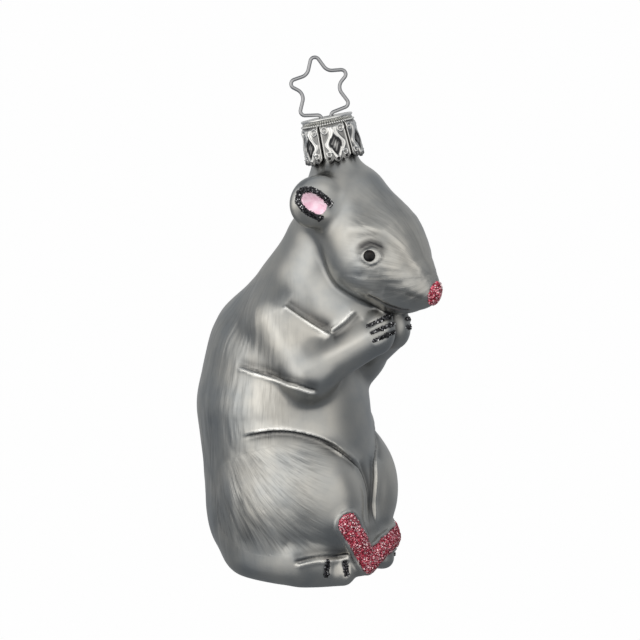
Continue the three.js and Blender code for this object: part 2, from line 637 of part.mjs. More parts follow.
const hung = new THREE.Group(); // the rat, hung by its neck on the hanger's axis
hung.position.copy(NECK_AXIS).multiplyScalar(RIM_DEPTH).sub(new THREE.Vector3(...NECK_RIM));
ornament.add(hung);
piece('glass_figure', glassFigure(), SATIN_SILVER, hung);
piece('nose_glitter', noseCap(), RED_GLITTER, hung);
piece('tail_glitter', tailBand(), RED_GLITTER, hung);
pair('ear_rim_glitter', earRim, BLACK_GLITTER, hung, { drop: LEFT_EAR_DROP });
pair('ear_lining', earLining, PINK_LACQUER, hung, { drop: LEFT_EAR_DROP });
pair('eye', eyeDrop, BLACK_GLOSS, hung);
for (let i = 0; i < FINGER_LINES; i += 1) {
  const finger = (options) => fingerLine(i, options);
  pair(`finger_glitter#${i + 1}`, finger, BLACK_GLITTER, hung, { back: LEFT_FINGERS_BACK });
}
TOE_LINES.forEach((line, i) => {
  const toeLine = (options) => brushLine(line, LINE_WIDTH, STEPS.line, options);
  pair(`toe_glitter#${i + 1}`, toeLine, BLACK_GLITTER, hung);
});

const fittings = new THREE.Group(); // cap and hanger, square to the neck
fittings.rotation.x = -degToRad(NECK_LEAN);
ornament.add(fittings);
piece('crown_cap', crownCap(), BRIGHT_TIN, fittings).position.z = CAP_TOP;
const hanger = piece('star_hanger', starHanger(), BRIGHT_TIN, fittings);
hanger.position.z = STAR_MIDDLE;
hanger.rotation.z = degToRad(STAR_TURN);

export default ornament;
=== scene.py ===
"""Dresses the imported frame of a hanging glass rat: a mould-blown, silvered figure under satin grey lacquer,
with glitter and lacquer laid on by hand, a pressed crown cap and a bent wire hanger."""

import json
import math

import bmesh
import bpy
import numpy as np
import openvdb
from bpy.props import FloatProperty, FloatVectorProperty, IntProperty, PointerProperty
from mathutils import Matrix, Vector


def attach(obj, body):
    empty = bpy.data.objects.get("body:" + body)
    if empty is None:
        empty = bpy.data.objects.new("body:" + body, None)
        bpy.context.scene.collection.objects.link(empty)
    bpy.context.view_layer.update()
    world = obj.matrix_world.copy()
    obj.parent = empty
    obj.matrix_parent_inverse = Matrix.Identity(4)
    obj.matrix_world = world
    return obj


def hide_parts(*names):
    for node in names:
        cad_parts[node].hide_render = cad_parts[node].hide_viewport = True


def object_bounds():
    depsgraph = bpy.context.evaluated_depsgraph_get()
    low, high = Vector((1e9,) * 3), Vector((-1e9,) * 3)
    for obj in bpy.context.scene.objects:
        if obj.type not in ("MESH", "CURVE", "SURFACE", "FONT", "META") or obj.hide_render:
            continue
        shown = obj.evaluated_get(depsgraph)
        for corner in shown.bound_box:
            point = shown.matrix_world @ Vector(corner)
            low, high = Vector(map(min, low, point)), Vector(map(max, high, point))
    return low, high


bl_info = {
    "name": "Hanging Glass Rat",
    "version": (1, 0, 0),
    "blender": (4, 5, 0),
    "location": "3D View > Sidebar > Ornament",
    "description": "Models and lights a blown glass rat around its packed frame",
    "category": "Object",
}

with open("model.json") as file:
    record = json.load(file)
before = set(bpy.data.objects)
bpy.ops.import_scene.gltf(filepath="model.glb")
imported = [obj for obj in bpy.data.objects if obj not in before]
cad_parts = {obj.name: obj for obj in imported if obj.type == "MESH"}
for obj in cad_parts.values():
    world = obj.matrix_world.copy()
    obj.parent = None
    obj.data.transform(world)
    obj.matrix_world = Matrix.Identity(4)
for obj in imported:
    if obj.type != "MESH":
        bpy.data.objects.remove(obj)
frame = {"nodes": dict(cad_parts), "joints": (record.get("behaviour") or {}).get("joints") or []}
CAD_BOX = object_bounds()
MM = 0.001

# Sizes that the fittings share with the frame, in millimetres
CAP_SHEET = 0.4
FIT_GAP = 0.3
NECK_RADIUS = 5.0
NECK_BORE = 4.0
NECK_LENGTH = 14.0
NECK_ROOT = 4.0  # how far the neck's wall runs on into the head
BORE_DEPTH = 16.0  # drawn as a blind hole, as the silvered glass is opaque
NECK_RIM = np.array([0.0, -3.5, 104.0])  # in the figure's frame, whose origin is on the seat
LEFT_EAR_DROP = 2.2


def places_of(mesh):
    """A mesh's corners in millimetres."""
    places = np.empty(len(mesh.vertices) * 3, np.float32)
    mesh.vertices.foreach_get("co", places)
    return places.reshape(-1, 3) / MM


def node_points(name):
    return places_of(frame["nodes"][name].data).astype(float)


HANGER_TURN = next(joint for joint in frame["joints"] if joint["name"] == "hanger_turn")
NECK_AXIS = np.array(HANGER_TURN["axis"])
NECK_LEAN = math.atan2(NECK_AXIS[1], NECK_AXIS[2])
CAP_TOP = float((node_points("crown_cap") @ NECK_AXIS).max())
FIGURE_ORIGIN = NECK_AXIS * (CAP_TOP - CAP_SHEET - FIT_GAP) - NECK_RIM

# Forms of the figure: x, y, height above the seat and radius along each limb; the right side is on -X
TORSO = ((0, 5.6, 20.7, 20.4), (0, 8.1, 38, 17.5), (0, 8, 50.4, 14), (0, 1, 62.6, 9.7), (0, -3.2, 76.4, 9))
TORSO_WIDTH = 0.9
RUMP = {"middle": (0, 5.8, 13.2), "radii": (18, 18, 13.6), "power": 2.3}
BASE = {"middle": (-5.8, 1.6, 7.4), "radii": (13.2, 15, 8), "power": 2.8}
CHEST = {"middle": (0, -9, 61.5), "radii": (9, 10, 11)}
THIGH = {"middle": (-9.4, 0.3, 19), "radii": (10.9, 17, 16.4), "toe_in": 12, "pitch": 12}
FOOT = ((-12, -5, 3.4, 3.1), (-8.6, -12.9, 3.5, 2.7))
HEAD = ((0, -8.5, 84.9, 10.2), (0, -16.8, 75.8, 10.2), (0, -23.9, 69.8, 6.6), (0, -29.1, 68.1, 2.2))
CHEEK = {"middle": (-4.8, -17.2, 73.6), "radii": (6, 8.4, 7)}
EAR = {"middle": (-11.1, -7.4, 87.6), "radii": (6, 2.8, 5.9), "toe_in": -35}
EAR_ROOT = ((-8.4, -7.8, 89.4, 3.3), (-2.5, -6.6, 90.4, 5.4))
EAR_DISH = {"middle": (-14.75, -9.87, 88.1), "radii": (4.7, 2.9, 2.5), "toe_in": -35, "roll": 36}
EYE_BALL = {"middle": (-8.6, -20.2, 76.6), "radii": (1.9, 1.9, 1.9)}
ELBOW = (-10.8, -5.5, 49, 5.2)
ARM = ((-9, 3, 60, 7.2), ELBOW)
FOREARM = (ELBOW, (-4.2, -17.5, 57, 4.2))
PAW = {"middle": (-3.2, -19.4, 58.7), "radii": (3.3, 3.4, 4.8)}
LAP = ((-5, -10.2, 12.5, 5.2), (5, -10.2, 12.5, 5.2))
TAIL_CORNER = (-4, -15.2, 5.8, 3)
TAIL_END = ((-9.6, -13.4, 16, 3.1), (-7.2, -14.4, 11.6, 3.1), TAIL_CORNER)
TAIL_ROUND = (TAIL_CORNER, (-0.6, -15.8, 7.4, 2.6), (3.4, -15.8, 8.4, 2.4), (9, -14, 8.4, 2.4),
              (14.5, -10.2, 7.8, 2.5), (18.2, 0, 7.8, 2.9), (16.2, 11.4, 8.8, 3.1), (8.6, 19, 9.2, 3.4),
              (0, 21.4, 10, 3.6))
TAIL_LIP = 0.35  # height of the edge beside the tail's glitter
TAIL_LIP_AT = 0.5  # how far outside the glitter that edge stands, and how wide it is
TAIL_LIP_WIDTH = 0.35
TAIL_TOP = 24.0  # no part of the tail lies above this
TAIL_AXIS = (0, 4, 0)  # foot of the upright that the tail runs round
TAIL_STEP = 3.0  # from the tail's middle outwards, to about its skin

# How softly each form runs into what came before it
FILLET = {
    "trunk": 9, "rump": 3, "base": 3, "chest": 3.5, "between_thighs": 5, "thighs": 1.5, "lap": 2.5,
    "feet": 2.4, "snout": 5, "cheeks": 2.5, "head": 1.6, "ear_roots": 2, "ears": 2.4, "ear_dishes": 0.8,
    "eyes": 0.6, "arms": 4, "forearms": 3.2, "paws": 1.2, "tail_links": 1, "tail_corner": 1.2, "tail": 2.6,
    "neck": 2.2, "seat": 1.8,
}

# Lines between the fingers and between the toes of the right side, which also take black glitter
FINGERS = (
    ((-6.7, -18.3, 60.3), (-5.6, -20.6, 61.6), (-3, -22, 62.5)),
    ((-7.1, -19.2, 58.8), (-5.7, -21.5, 60), (-2.8, -22.7, 60.7)),
    ((-7.2, -20, 57.2), (-5.3, -22.1, 58.3), (-2.6, -23, 58.9)),
)
TOES = (((-13.6, -12.1, 7.4), (-13.5, -11.7, 4.2)), ((-9.2, -13.7, 6.7), (-10.1, -15.1, 4.3)))

# Lines pressed into the mould on the right side and mirrored. Each has a groove's width and depth, and may
# have a lip beside it, a painted highlight on that lip ("shine") over a share of the line ("highlight_to"),
# and a fold that raises the side that "up" points to, over a soft or sharp "edge".
FOLD_EDGE = 0.25
FOLD_REACH = 1.7
LIP_AT = 2.0  # where the lip stands and where its painted highlight lies, in groove widths from the line
HIGHLIGHT_AT = 1.9
HIGHLIGHT_WIDTH = 0.9
HIGHLIGHT_LEAST = 0.35
HIGHLIGHT_PATCHES = 0.75
LINE_END = 0.1  # share of a line over which it fades out at each end
DOWN, UP = (0, 0, -1), (0, 0, 1)
SEAM = {"width": 0.34, "depth": 0.4, "lip": 0.14}
WHISKER = {"width": 0.6, "depth": 0.06, "edge": 0.8}
TOE_GROOVE = {"width": 0.5, "depth": 0.2, "lip": 0.1}
CREASES = (
    {**SEAM, "shine": 1, "fold": 0.34, "up": DOWN,  # arm, behind and below the shoulder
     "points": ((-13.4, -0.9, 64.5), (-11.3, -5.3, 61.2), (-8.8, -10.5, 57.9))},
    {**SEAM, "shine": 1, "fold": 0.3, "up": (0, 1, 0.4),  # arm, up to the chin
     "points": ((-8.8, -10.5, 57.9), (-8.1, -13.2, 60.4), (-6.9, -15.3, 63.1))},
    {**SEAM, "shine": 0.9, "fold": 0.3, "up": DOWN,  # under the elbow
     "points": ((-14.9, 10, 49.8), (-15.7, 5.5, 49), (-15.2, 2, 48.4), (-15.5, -2, 47.9), (-16, -6.5, 47.3),
                (-13.4, -9.6, 46.1))},
    {**SEAM, "lip": 0.16, "shine": 0.9, "highlight_to": 0.45, "fold": 0.36, "up": (-0.5, 0, 0.8),  # over the thigh
     "points": ((-18, 7.5, 34.1), (-17.6, 3.6, 35.5), (-15.8, -1.6, 36.3), (-13.3, -5.7, 35.6),
                (-9.8, -9.3, 33.6), (-6.5, -12.3, 30.3), (-3.7, -13.7, 27.4), (-2.4, -14.5, 24),
                (-1.5, -14.9, 20.6), (-1.2, -15, 17), (-1.1, -15.4, 13))},
    {"width": 0.4, "depth": 0.6, "lip": 0.12, "fold": 0.24, "up": UP,  # mouth
     "points": ((-9, -19.4, 68), (-8, -21.1, 67.1), (-7.1, -22.6, 66), (-5.5, -24.5, 64.9),
                (-4.2, -25.9, 64.4), (-3.4, -26.9, 64.4))},
    {"width": 0.9, "depth": 0, "fold": 0.13, "edge": 0.9, "up": (0.5, 0, 0.85),  # brow to nose
     "points": ((-10.3, -14.5, 81.8), (-9.2, -19, 82.2), (-7.2, -23, 81.4), (-5.1, -26.8, 77.2),
                (-2.7, -30.3, 71))},
    {**WHISKER, "fold": 0.05, "up": DOWN,
     "points": ((-11.2, -19.1, 73), (-10.7, -21.2, 73), (-9.9, -23.1, 73.3))},
    {**WHISKER, "fold": 0.06, "up": UP,
     "points": ((-10.7, -20.4, 72), (-9.9, -22.7, 72), (-8.7, -24.7, 71.2), (-7.4, -26.2, 71),
                (-6.5, -27.3, 70.7))},
    {**WHISKER, "depth": 0.07, "fold": 0.06, "edge": 0.7, "up": UP,
     "points": ((-8.8, -23.6, 69.7), (-7.3, -25.8, 69.2), (-6, -27.7, 68.8), (-4.8, -28.8, 67.8))},
    {"width": 0.5, "depth": 0.1,  # beside the nose
     "points": ((-6.1, -27.4, 68.4), (-4.8, -28.8, 67.8), (-3.3, -30.3, 67.1))},
    {"width": 0.4, "depth": 0.4, "lip": 0.16, "shine": 0.35, "fold": 0.3, "up": DOWN,  # over the foot
     "points": ((-18.2, -6.3, 7.2), (-15.7, -10.5, 8.4), (-10.6, -13.1, 8), (-9.1, -15.1, 8.5))},
    *({"width": 0.5, "depth": 0.2, "points": finger} for finger in FINGERS),
    {**TOE_GROOVE, "points": ((-13.6, -12.1, 7.7), (-13.5, -11.7, 3.8))},
    {**TOE_GROOVE, "points": ((-9.2, -13.7, 6.9), (-10.1, -15.1, 3.9))},
)
EYE_AT = np.array([-10.4, -21.3, 76.8])
LID_HALF = (1.95, 1.6)  # half length and half height of the lids
LID_RIDGE = 0.24
SOCKET_REACH = 2.9
SOCKET_DEPTH = 0.24
SOCKET_WIDTH = 0.85
LID_DEPTH = 3.0  # how far in and out from the eye its lids may lie
LID_PINCH = 0.18  # how much lower the lids are at the eye's corners
LID_LINE = 0.16  # width of the ridge, as a share of the eye
LID_GROOVE = {"at": 1.36, "width": 0.15, "depth": 0.6 * LID_RIDGE}

# Combed fur: grooves that run down the back, fan over the thighs and draw back from the nose
FUR_SPACING = 1.2
FUR_RUN = 11.0
FUR_DEPTH = 0.28
STREAK = 0.3  # broad streaks along the fur
STRANDS = 2.8  # painted strands in each groove's width, so about 0.43 mm apart
RIPPLE = 0.16
RIPPLE_SPAN = 6.5
THIGH_FAN = (19.0, 41.0)  # y and height that the thigh's grooves fan from
THIGH_FAN_REACH = 24.0  # how far from there their spacing is measured
BACK_AXIS = 6.0  # y of the upright that the back's grooves lie round, and their distance from it
BACK_RADIUS = 17.0
SNOUT_AXIS = 72.0  # height of the level line that the face's grooves lie round, and their distance from it
SNOUT_RADIUS = 9.0
FUR_AMOUNT = {"thigh": 0.85, "back": 0.45, "face": 0.4}
LATTICE_SIZE = 64
LATTICE = np.random.default_rng(7).random((LATTICE_SIZE, LATTICE_SIZE)).astype(np.float32)

# How much painted shade the lacquer takes for each millimetre of pressing and of fur; painted shade from the
# forms about a place ends below the cap
PRESSED_SHADE = 2.4
FUR_SHADE = 1.1
SHADE_REACHES = (1.2, 2.5, 5.0)
SHADE_TOP = (94, 87)

# Where the coats lie: half widths of the bands, and boxes that hold each coat
NOSE_SPOT = (0, -31.8, 67.8, 2.75)
FINGER_BAND = 0.52
TOE_BAND = 0.72
TAIL_BAND = 2.5
EAR_SHOE = (6.2, 3.7, 2.6)  # an ear's horseshoe: half length to its open and closed ends, half height
EAR_SHOE_END = 4.3  # where its open end stops
EAR_RING = 0.95  # where the middle of that glitter lies
EAR_BAND = 0.62
EAR_LINING = 0.8  # size of the pink against the horseshoe
COAT_ROOT = 0.4  # how far a coat reaches into the glass
COAT_EDGE = 0.5  # rounding of a coat's edge
GLITTER_LIFT = 0.22
LACQUER_LIFT = 0.1
NOSE_BOX = ((-5, -36, 63), (5, -26, 73))
TAIL_BOX = ((-16, -22, 0), (24, 28, 23))
EAR_BOX = ((-21, -17, 78), (21, 1, 97))
FINGER_BOX = ((-9, -26, 54), (9, -16, 65))
TOE_BOX = ((-14, -18, 1), (14, -8, 9))
FIGURE_BOX = ((-25.0, -36.0, -2.0), (25.0, 31.0, 107.0))


def smooth_union(a, b, reach):
    share = np.clip(0.5 + 0.5 * (b - a) / reach, 0, 1)
    return b + (a - b) * share - reach * share * (1 - share)


def smooth_cut(a, b, reach):
    return -smooth_union(-a, b, reach)


def fade(value, start, end):
    share = np.clip((value - start) / (end - start), 0, 1)
    return share * share * (3 - 2 * share)


def limb(p, start, end, width=1.0, eased=False):
    """Distance to a tapering limb with round ends, whose taper can ease out at both ends."""
    (ax, ay, az, ar), (bx, by, bz, br) = start, end
    dx, dy, dz = (bx - ax) / width, by - ay, bz - az
    px, py, pz = (p[0] - ax) / width, p[1] - ay, p[2] - az
    share = np.clip((px * dx + py * dy + pz * dz) / (dx * dx + dy * dy + dz * dz), 0, 1)
    away = np.sqrt((px - share * dx) ** 2 + (py - share * dy) ** 2 + (pz - share * dz) ** 2)
    taper = fade(share, 0, 1) if eased else share
    return (away - (ar + (br - ar) * taper)) * min(1.0, width)


def limbs(p, points, reach, width=1.0, eased=False):
    links = [limb(p, start, end, width, eased) for start, end in zip(points, points[1:])]
    joined = links[0]
    for link in links[1:]:
        joined = smooth_union(joined, link, reach)
    return joined


def seen_from(form, p):
    """Points from a form's middle, along its own turned axes."""
    turn = (Matrix.Rotation(math.radians(form.get("toe_in", 0)), 3, "Z")
            @ Matrix.Rotation(math.radians(form.get("pitch", 0)), 3, "X")
            @ Matrix.Rotation(math.radians(form.get("roll", 0)), 3, "Y"))
    return np.array(turn.transposed(), np.float32) @ (p - np.array(form["middle"], np.float32)[:, None])


def mass(p, form):
    """Distance to a turned ellipsoid, or to a fuller one where its power is above 2."""
    power = form.get("power", 2.0)
    radii = np.array(form["radii"], np.float32)[:, None]
    share = np.abs(seen_from(form, p)) / radii
    near = np.maximum((share ** power).sum(0) ** (1 / power), 1e-6)
    slope = (share / near) ** (power - 1) / radii
    return (near - 1) / np.sqrt((slope ** 2).sum(0))


MIRROR = np.array([[-1], [1], [1]], np.float32)


def right_side(p):
    return np.stack([-np.abs(p[0]), p[1], p[2]])


def ear_side(p):
    """Points on the right side, where the lower left ear is mirrored onto the right one."""
    side = right_side(p)
    side[2] += np.where(p[0] > 0, LEFT_EAR_DROP, 0)
    return side


def neck_distances(p):
    """Depth below the neck's rim and distance from the neck's axis."""
    offset = p - NECK_RIM[:, None].astype(np.float32)
    depth = -(NECK_AXIS.astype(np.float32) @ offset)
    foot = offset + NECK_AXIS[:, None].astype(np.float32) * depth
    return depth, np.sqrt((foot ** 2).sum(0))


def bare_skin(p):
    """The mould without its fine lines: distance to the figure, negative inside."""
    side, ears = right_side(p), ear_side(p)
    d = limbs(p, TORSO, FILLET["trunk"], TORSO_WIDTH, eased=True)
    thighs = smooth_union(mass(p, THIGH), mass(p * MIRROR, THIGH), FILLET["between_thighs"])
    head = smooth_union(limbs(p, HEAD, FILLET["snout"]), mass(side, CHEEK), FILLET["cheeks"])
    for name, form in (("rump", mass(p, RUMP)), ("base", mass(side, BASE)), ("chest", mass(p, CHEST)),
                       ("thighs", thighs), ("lap", limb(p, *LAP)), ("feet", limb(side, *FOOT)),
                       ("head", head), ("ear_roots", limb(ears, *EAR_ROOT)), ("ears", mass(ears, EAR))):
        d = smooth_union(d, form, FILLET[name])
    d = smooth_cut(d, mass(ears, EAR_DISH), FILLET["ear_dishes"])
    tail = smooth_union(limbs(p, TAIL_END, FILLET["tail_links"]), limbs(p, TAIL_ROUND, FILLET["tail_links"]),
                        FILLET["tail_corner"])
    depth, away = neck_distances(p)
    neck = np.maximum(away - NECK_RADIUS, np.maximum(-depth, depth - NECK_LENGTH - NECK_ROOT))
    for name, form in (("eyes", mass(side, EYE_BALL)), ("arms", limb(side, *ARM)),
                       ("forearms", limb(side, *FOREARM)), ("paws", mass(side, PAW)), ("tail", tail),
                       ("neck", neck)):
        d = smooth_union(d, form, FILLET[name])
    d = smooth_cut(d, p[2], FILLET["seat"])
    bore = np.maximum(away - NECK_BORE, depth - BORE_DEPTH)
    return np.maximum(d, -bore)


def slope_of(field, p, step=0.08):
    rows = []
    for axis in range(3):
        shift = np.zeros((3, 1), np.float32)
        shift[axis] = step
        rows.append(field(p + shift) - field(p - shift))
    return np.stack(rows) / (2 * step)


def settle(field, p, passes=3):
    """Moves points along the field's slope until they lie on its surface."""
    for _ in range(passes):
        slope = slope_of(field, p)
        p = p - slope * (field(p) / np.maximum((slope ** 2).sum(0), 0.1))
    return p


def smooth_line(points, steps=6):
    """Points along a Catmull-Rom curve."""
    ends = np.array([points[0], *points, points[-1]], float)
    line = []
    for a, b, c, d in zip(ends, ends[1:], ends[2:], ends[3:]):
        for t in np.arange(steps) / steps:
            line.append(b + 0.5 * t * (c - a + t * (2 * a - 5 * b + 4 * c - d + t * (3 * (b - c) + d - a))))
    return np.array([*line, ends[-1]])


def nearest_on_line(p, line):
    """Distance to a line of points, the offset from it, and the share of the way along."""
    best = np.full(p.shape[1], 1e9, np.float32)
    offset = np.zeros_like(p)
    along = np.zeros(p.shape[1], np.float32)
    for i, (start, end) in enumerate(zip(line, line[1:])):
        step = (end - start)[:, None]
        share = np.clip(((p - start[:, None]) * step).sum(0) / max(float((step ** 2).sum()), 1e-9), 0, 1)
        away = p - start[:, None] - step * share
        reach = (away ** 2).sum(0)
        closer = reach < best
        best[closer] = reach[closer]
        offset[:, closer] = away[:, closer]
        along[closer] = (i + share[closer]) / (len(line) - 1)
    return np.sqrt(best), offset, along


for crease in CREASES:
    raw = smooth_line(crease["points"]).T.astype(np.float32)
    crease["line"] = settle(bare_skin, raw).T.astype(np.float32)


def lattice_noise(u, v):
    """Smooth noise from 0 to 1. Callers shift u and v to part their draws."""
    i, j = np.floor(u).astype(int), np.floor(v).astype(int)
    fu, fv = fade(u - i, 0, 1), fade(v - j, 0, 1)

    def corner(a, b):
        return LATTICE[(i + a) % LATTICE_SIZE, (j + b) % LATTICE_SIZE]

    low = corner(0, 0) + (corner(1, 0) - corner(0, 0)) * fu
    high = corner(0, 1) + (corner(1, 1) - corner(0, 1)) * fu
    return low + (high - low) * fv


def bell(value, middle, width):
    return np.exp(-(((value - middle) / width) ** 2))


def crease_offset(p, painted_highlight=None):
    """How far the pressed lines move the skin: inwards where positive. Fills in the painted highlight on
    their lips.
    """
    side = right_side(p)
    total = np.zeros(p.shape[1], np.float32)
    for crease in CREASES:
        line = crease["line"]
        width = crease["width"]
        fold = crease.get("fold", 0)
        margin = 3 * FOLD_REACH if fold else 5 * width
        low, high = line.min(0) - margin, line.max(0) + margin
        near = np.all((side > low[:, None]) & (side < high[:, None]), 0)
        if not near.any():
            continue
        distance, offset, along = nearest_on_line(side[:, near], line)
        ends = fade(along, 0, LINE_END) * fade(along, 1, 1 - LINE_END)
        rise = np.array(crease.get("up", UP), np.float32) @ offset
        move = crease["depth"] * bell(distance, 0, width)
        move -= crease.get("lip", 0) * bell(distance, LIP_AT * width, width)
        move -= fold * np.tanh(rise / crease.get("edge", FOLD_EDGE)) * bell(distance, 0, FOLD_REACH)
        total[near] += move * ends
        # painted highlight: a pale band along the raised lip of a line, broken into patches
        if painted_highlight is not None and "shine" in crease:
            lip = crease["shine"] * bell(distance, HIGHLIGHT_AT * width, HIGHLIGHT_WIDTH * width) * fade(rise, 0, 0.3)
            highlight_to = crease.get("highlight_to", 2)
            lip *= fade(along, highlight_to, highlight_to - 0.2)
            patches = lattice_noise(along * len(line) * 0.4 + 3, np.full_like(along, 8.5))
            lip *= HIGHLIGHT_LEAST + HIGHLIGHT_PATCHES * patches
            painted_highlight[near] = np.maximum(painted_highlight[near], lip * ends)
    return total


def unit(vector):
    return vector / np.linalg.norm(vector)


EYE_OUT = unit(slope_of(bare_skin, EYE_AT[:, None].astype(np.float32))[:, 0])
EYE_ALONG = unit(np.cross(EYE_OUT, (0, 0, 1.0)))
EYE_UP = np.cross(EYE_ALONG, EYE_OUT)


def lid_offset(p):
    """Almond-shaped lids round the eye, in a shallow socket."""
    side = right_side(p) - EYE_AT[:, None].astype(np.float32)
    along, up, out = (axis.astype(np.float32) @ side for axis in (EYE_ALONG, EYE_UP, EYE_OUT))
    ring = np.hypot(along / LID_HALF[0], up / (LID_HALF[1] * (1 - LID_PINCH * np.abs(along) / LID_HALF[0])))
    ridge = LID_RIDGE * bell(ring, 1, LID_LINE)
    groove = LID_GROOVE["depth"] * bell(ring, LID_GROOVE["at"], LID_GROOVE["width"])
    brow = np.clip(up / LID_HALF[1], 0, 1.4)
    socket = SOCKET_DEPTH * brow * bell(np.hypot(along, up), SOCKET_REACH, SOCKET_WIDTH)
    return (groove + socket - ridge) * (np.abs(out) < LID_DEPTH)


def comb(p):
    """Where a point lies across and along the fur, and how much fur each region has.

    The numbers given to fade are where each region begins and ends, in millimetres of the figure's frame."""
    side = right_side(p)
    thigh = fade(mass(side, THIGH), 1.6, 0.2)
    fan = np.arctan2(side[2] - THIGH_FAN[1], side[1] - THIGH_FAN[0])
    fan_reach = np.hypot(side[2] - THIGH_FAN[1], side[1] - THIGH_FAN[0])
    round_back = np.arctan2(p[0], p[1] - BACK_AXIS)
    round_snout = np.arctan2(p[2] - SNOUT_AXIS, p[0])
    back = fade(p[2], 3, 12) * fade(p[2], 76, 60) * fade(p[1], -10, 2) * (1 - thigh)
    face = fade(p[1], -12, -20) * fade(p[2], 64, 68)
    thigh = thigh * fade(fan_reach, 8, 20) * fade(p[1], -15, -7)
    return (
        (fan * THIGH_FAN_REACH / (0.8 * FUR_SPACING), fan_reach / FUR_RUN, FUR_AMOUNT["thigh"] * thigh),
        (round_back * BACK_RADIUS / FUR_SPACING, p[2] / FUR_RUN, FUR_AMOUNT["back"] * back),
        (round_snout * SNOUT_RADIUS / (0.7 * FUR_SPACING), p[1] / (0.6 * FUR_RUN), FUR_AMOUNT["face"] * face),
    )


def fur_offset(p):
    """Wandering grooves, deeper in places, and broad streaks along them: inwards where positive."""
    total = np.zeros(p.shape[1], np.float32)
    for across, along, amount in comb(p):
        wander = across + 1.2 * lattice_noise(along * 1.7 + 9, across * 0.15)
        groove = np.abs(2 * lattice_noise(wander, along * 1.6) - 1)
        swell = lattice_noise(across * 0.3 + 31, along * 0.8 + 17)
        total += amount * FUR_DEPTH * (0.55 - groove) * (0.35 + 1.1 * swell)
        total += amount * STREAK * (lattice_noise(across * 0.3 + 5, along * 0.7 + 40) - 0.5)
    return total


def ripple(p):
    """Soft unevenness of the hand-cut mould."""
    across, along, rise = p / RIPPLE_SPAN
    wave = lattice_noise(along + 11, rise / 1.3 + 3) + lattice_noise(across + 40, rise / 1.3 + 23)
    return RIPPLE * (wave - 1) * fade(p[2], 96, 90)


def on_tail(points):
    """The line on the skin that lies over the middle of the tail."""
    line = smooth_line([p[:3] for p in points], 4)
    away = line - TAIL_AXIS
    away[:, 2] = 0
    line = line + TAIL_STEP * away / np.linalg.norm(away, axis=1)[:, None]
    return settle(bare_skin, line.T.astype(np.float32), passes=6).T


TAIL_LINES = [on_tail(TAIL_END), on_tail(TAIL_ROUND)]


def tail_region(p):
    reach = np.minimum.reduce([nearest_on_line(p, line.astype(np.float32))[0] for line in TAIL_LINES])
    return reach - TAIL_BAND


def tail_lip(p):
    near = np.flatnonzero(p[2] < TAIL_TOP)
    total = np.zeros(p.shape[1], np.float32)
    total[near] = TAIL_LIP * bell(tail_region(p[:, near]), TAIL_LIP_AT, TAIL_LIP_WIDTH)
    return total


def skin(p):
    return bare_skin(p) + crease_offset(p) + lid_offset(p) + fur_offset(p) + ripple(p) - tail_lip(p)


# Small makers


def linear(code):
    """A colour as linear red, green and blue, from its sRGB hex."""
    channels = [int(code[i:i + 2], 16) / 255 for i in (1, 3, 5)]
    return tuple(c / 12.92 if c <= 0.04045 else ((c + 0.055) / 1.055) ** 2.4 for c in channels)


def new_object(name, mesh, material=None):
    piece = bpy.data.objects.new(name, mesh)
    bpy.context.scene.collection.objects.link(piece)
    if material is not None:
        mesh.materials.clear()
        mesh.materials.append(material)
    return piece


def mesh_of(name, points, faces, smooth=True):
    """A mesh from points in millimetres."""
    mesh = bpy.data.meshes.new(name)
    mesh.from_pydata((np.asarray(points) * MM).tolist(), [], [list(map(int, face)) for face in faces])
    mesh.polygons.foreach_set("use_smooth", [smooth] * len(mesh.polygons))
    mesh.update()
    return mesh


def mesh_from(name, edit):
    mesh = bpy.data.meshes.new(name)
    edit.to_mesh(mesh)
    edit.free()
    return mesh


def outwards(mesh, merge=0.002):
    """Joins corners closer than the given millimetres and turns every face outwards."""
    edit = bmesh.new()
    edit.from_mesh(mesh)
    if merge:
        bmesh.ops.remove_doubles(edit, verts=edit.verts, dist=merge * MM)
    bmesh.ops.recalc_face_normals(edit, faces=edit.faces)
    edit.to_mesh(mesh)
    edit.free()
    return mesh


def set_places(mesh, places):
    mesh.vertices.foreach_set("co", np.ascontiguousarray(places * MM, np.float32).ravel())
    mesh.update()


def store(mesh, name, values):
    attribute = mesh.attributes.new(name, "FLOAT", "POINT")
    attribute.data.foreach_set("value", np.ascontiguousarray(values, np.float32))


def baked(piece):
    """Turns a piece's modifiers into a plain mesh."""
    evaluated = piece.evaluated_get(bpy.context.evaluated_depsgraph_get())
    mesh = bpy.data.meshes.new_from_object(evaluated, preserve_all_data_layers=True,
                                           depsgraph=bpy.context.evaluated_depsgraph_get())
    if not mesh.polygons:
        raise RuntimeError(f"{piece.name} came out empty")
    mesh.name = piece.name
    piece.modifiers.clear()
    piece.data = mesh
    return piece


def dress(piece, body, slot, *nodes):
    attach(piece, body)
    if nodes:
        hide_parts(*nodes)
    return piece


def add_node(tree, kind, links=(), inputs=(), stops=(), **settings):
    """Adds a node with its settings, input values, colour stops and links from other sockets."""
    node = tree.nodes.new(kind)
    for key, value in settings.items():
        setattr(node, key, value)
    for key, value in dict(inputs).items():
        node.inputs[key].default_value = value
    for key, socket in dict(links).items():
        tree.links.new(socket, node.inputs[key])
    for i, (position, colour) in enumerate(stops):
        elements = node.color_ramp.elements
        element = elements[i] if i < len(elements) else elements.new(position)
        element.position = position
        element.color = (*colour, 1)
    return node


def new_material(name):
    material = bpy.data.materials.new(name)
    material.use_nodes = True
    tree = material.node_tree
    return material, tree, tree.nodes["Principled BSDF"]


def feed(tree, surface, sockets):
    """Links or sets a surface's own sockets."""
    for name, value in sockets.items():
        if isinstance(value, bpy.types.NodeSocket):
            tree.links.new(value, surface.inputs[name])
        else:
            surface.inputs[name].default_value = value


def modify(piece, tree, values):
    """Adds a node tree to a piece, with its inputs set by name."""
    modifier = piece.modifiers.new(tree.name, "NODES")
    modifier.node_group = tree
    for item in tree.interface.items_tree:
        if item.item_type == "SOCKET" and item.in_out == "INPUT" and item.name in values:
            modifier[item.identifier] = values[item.name]
    return piece


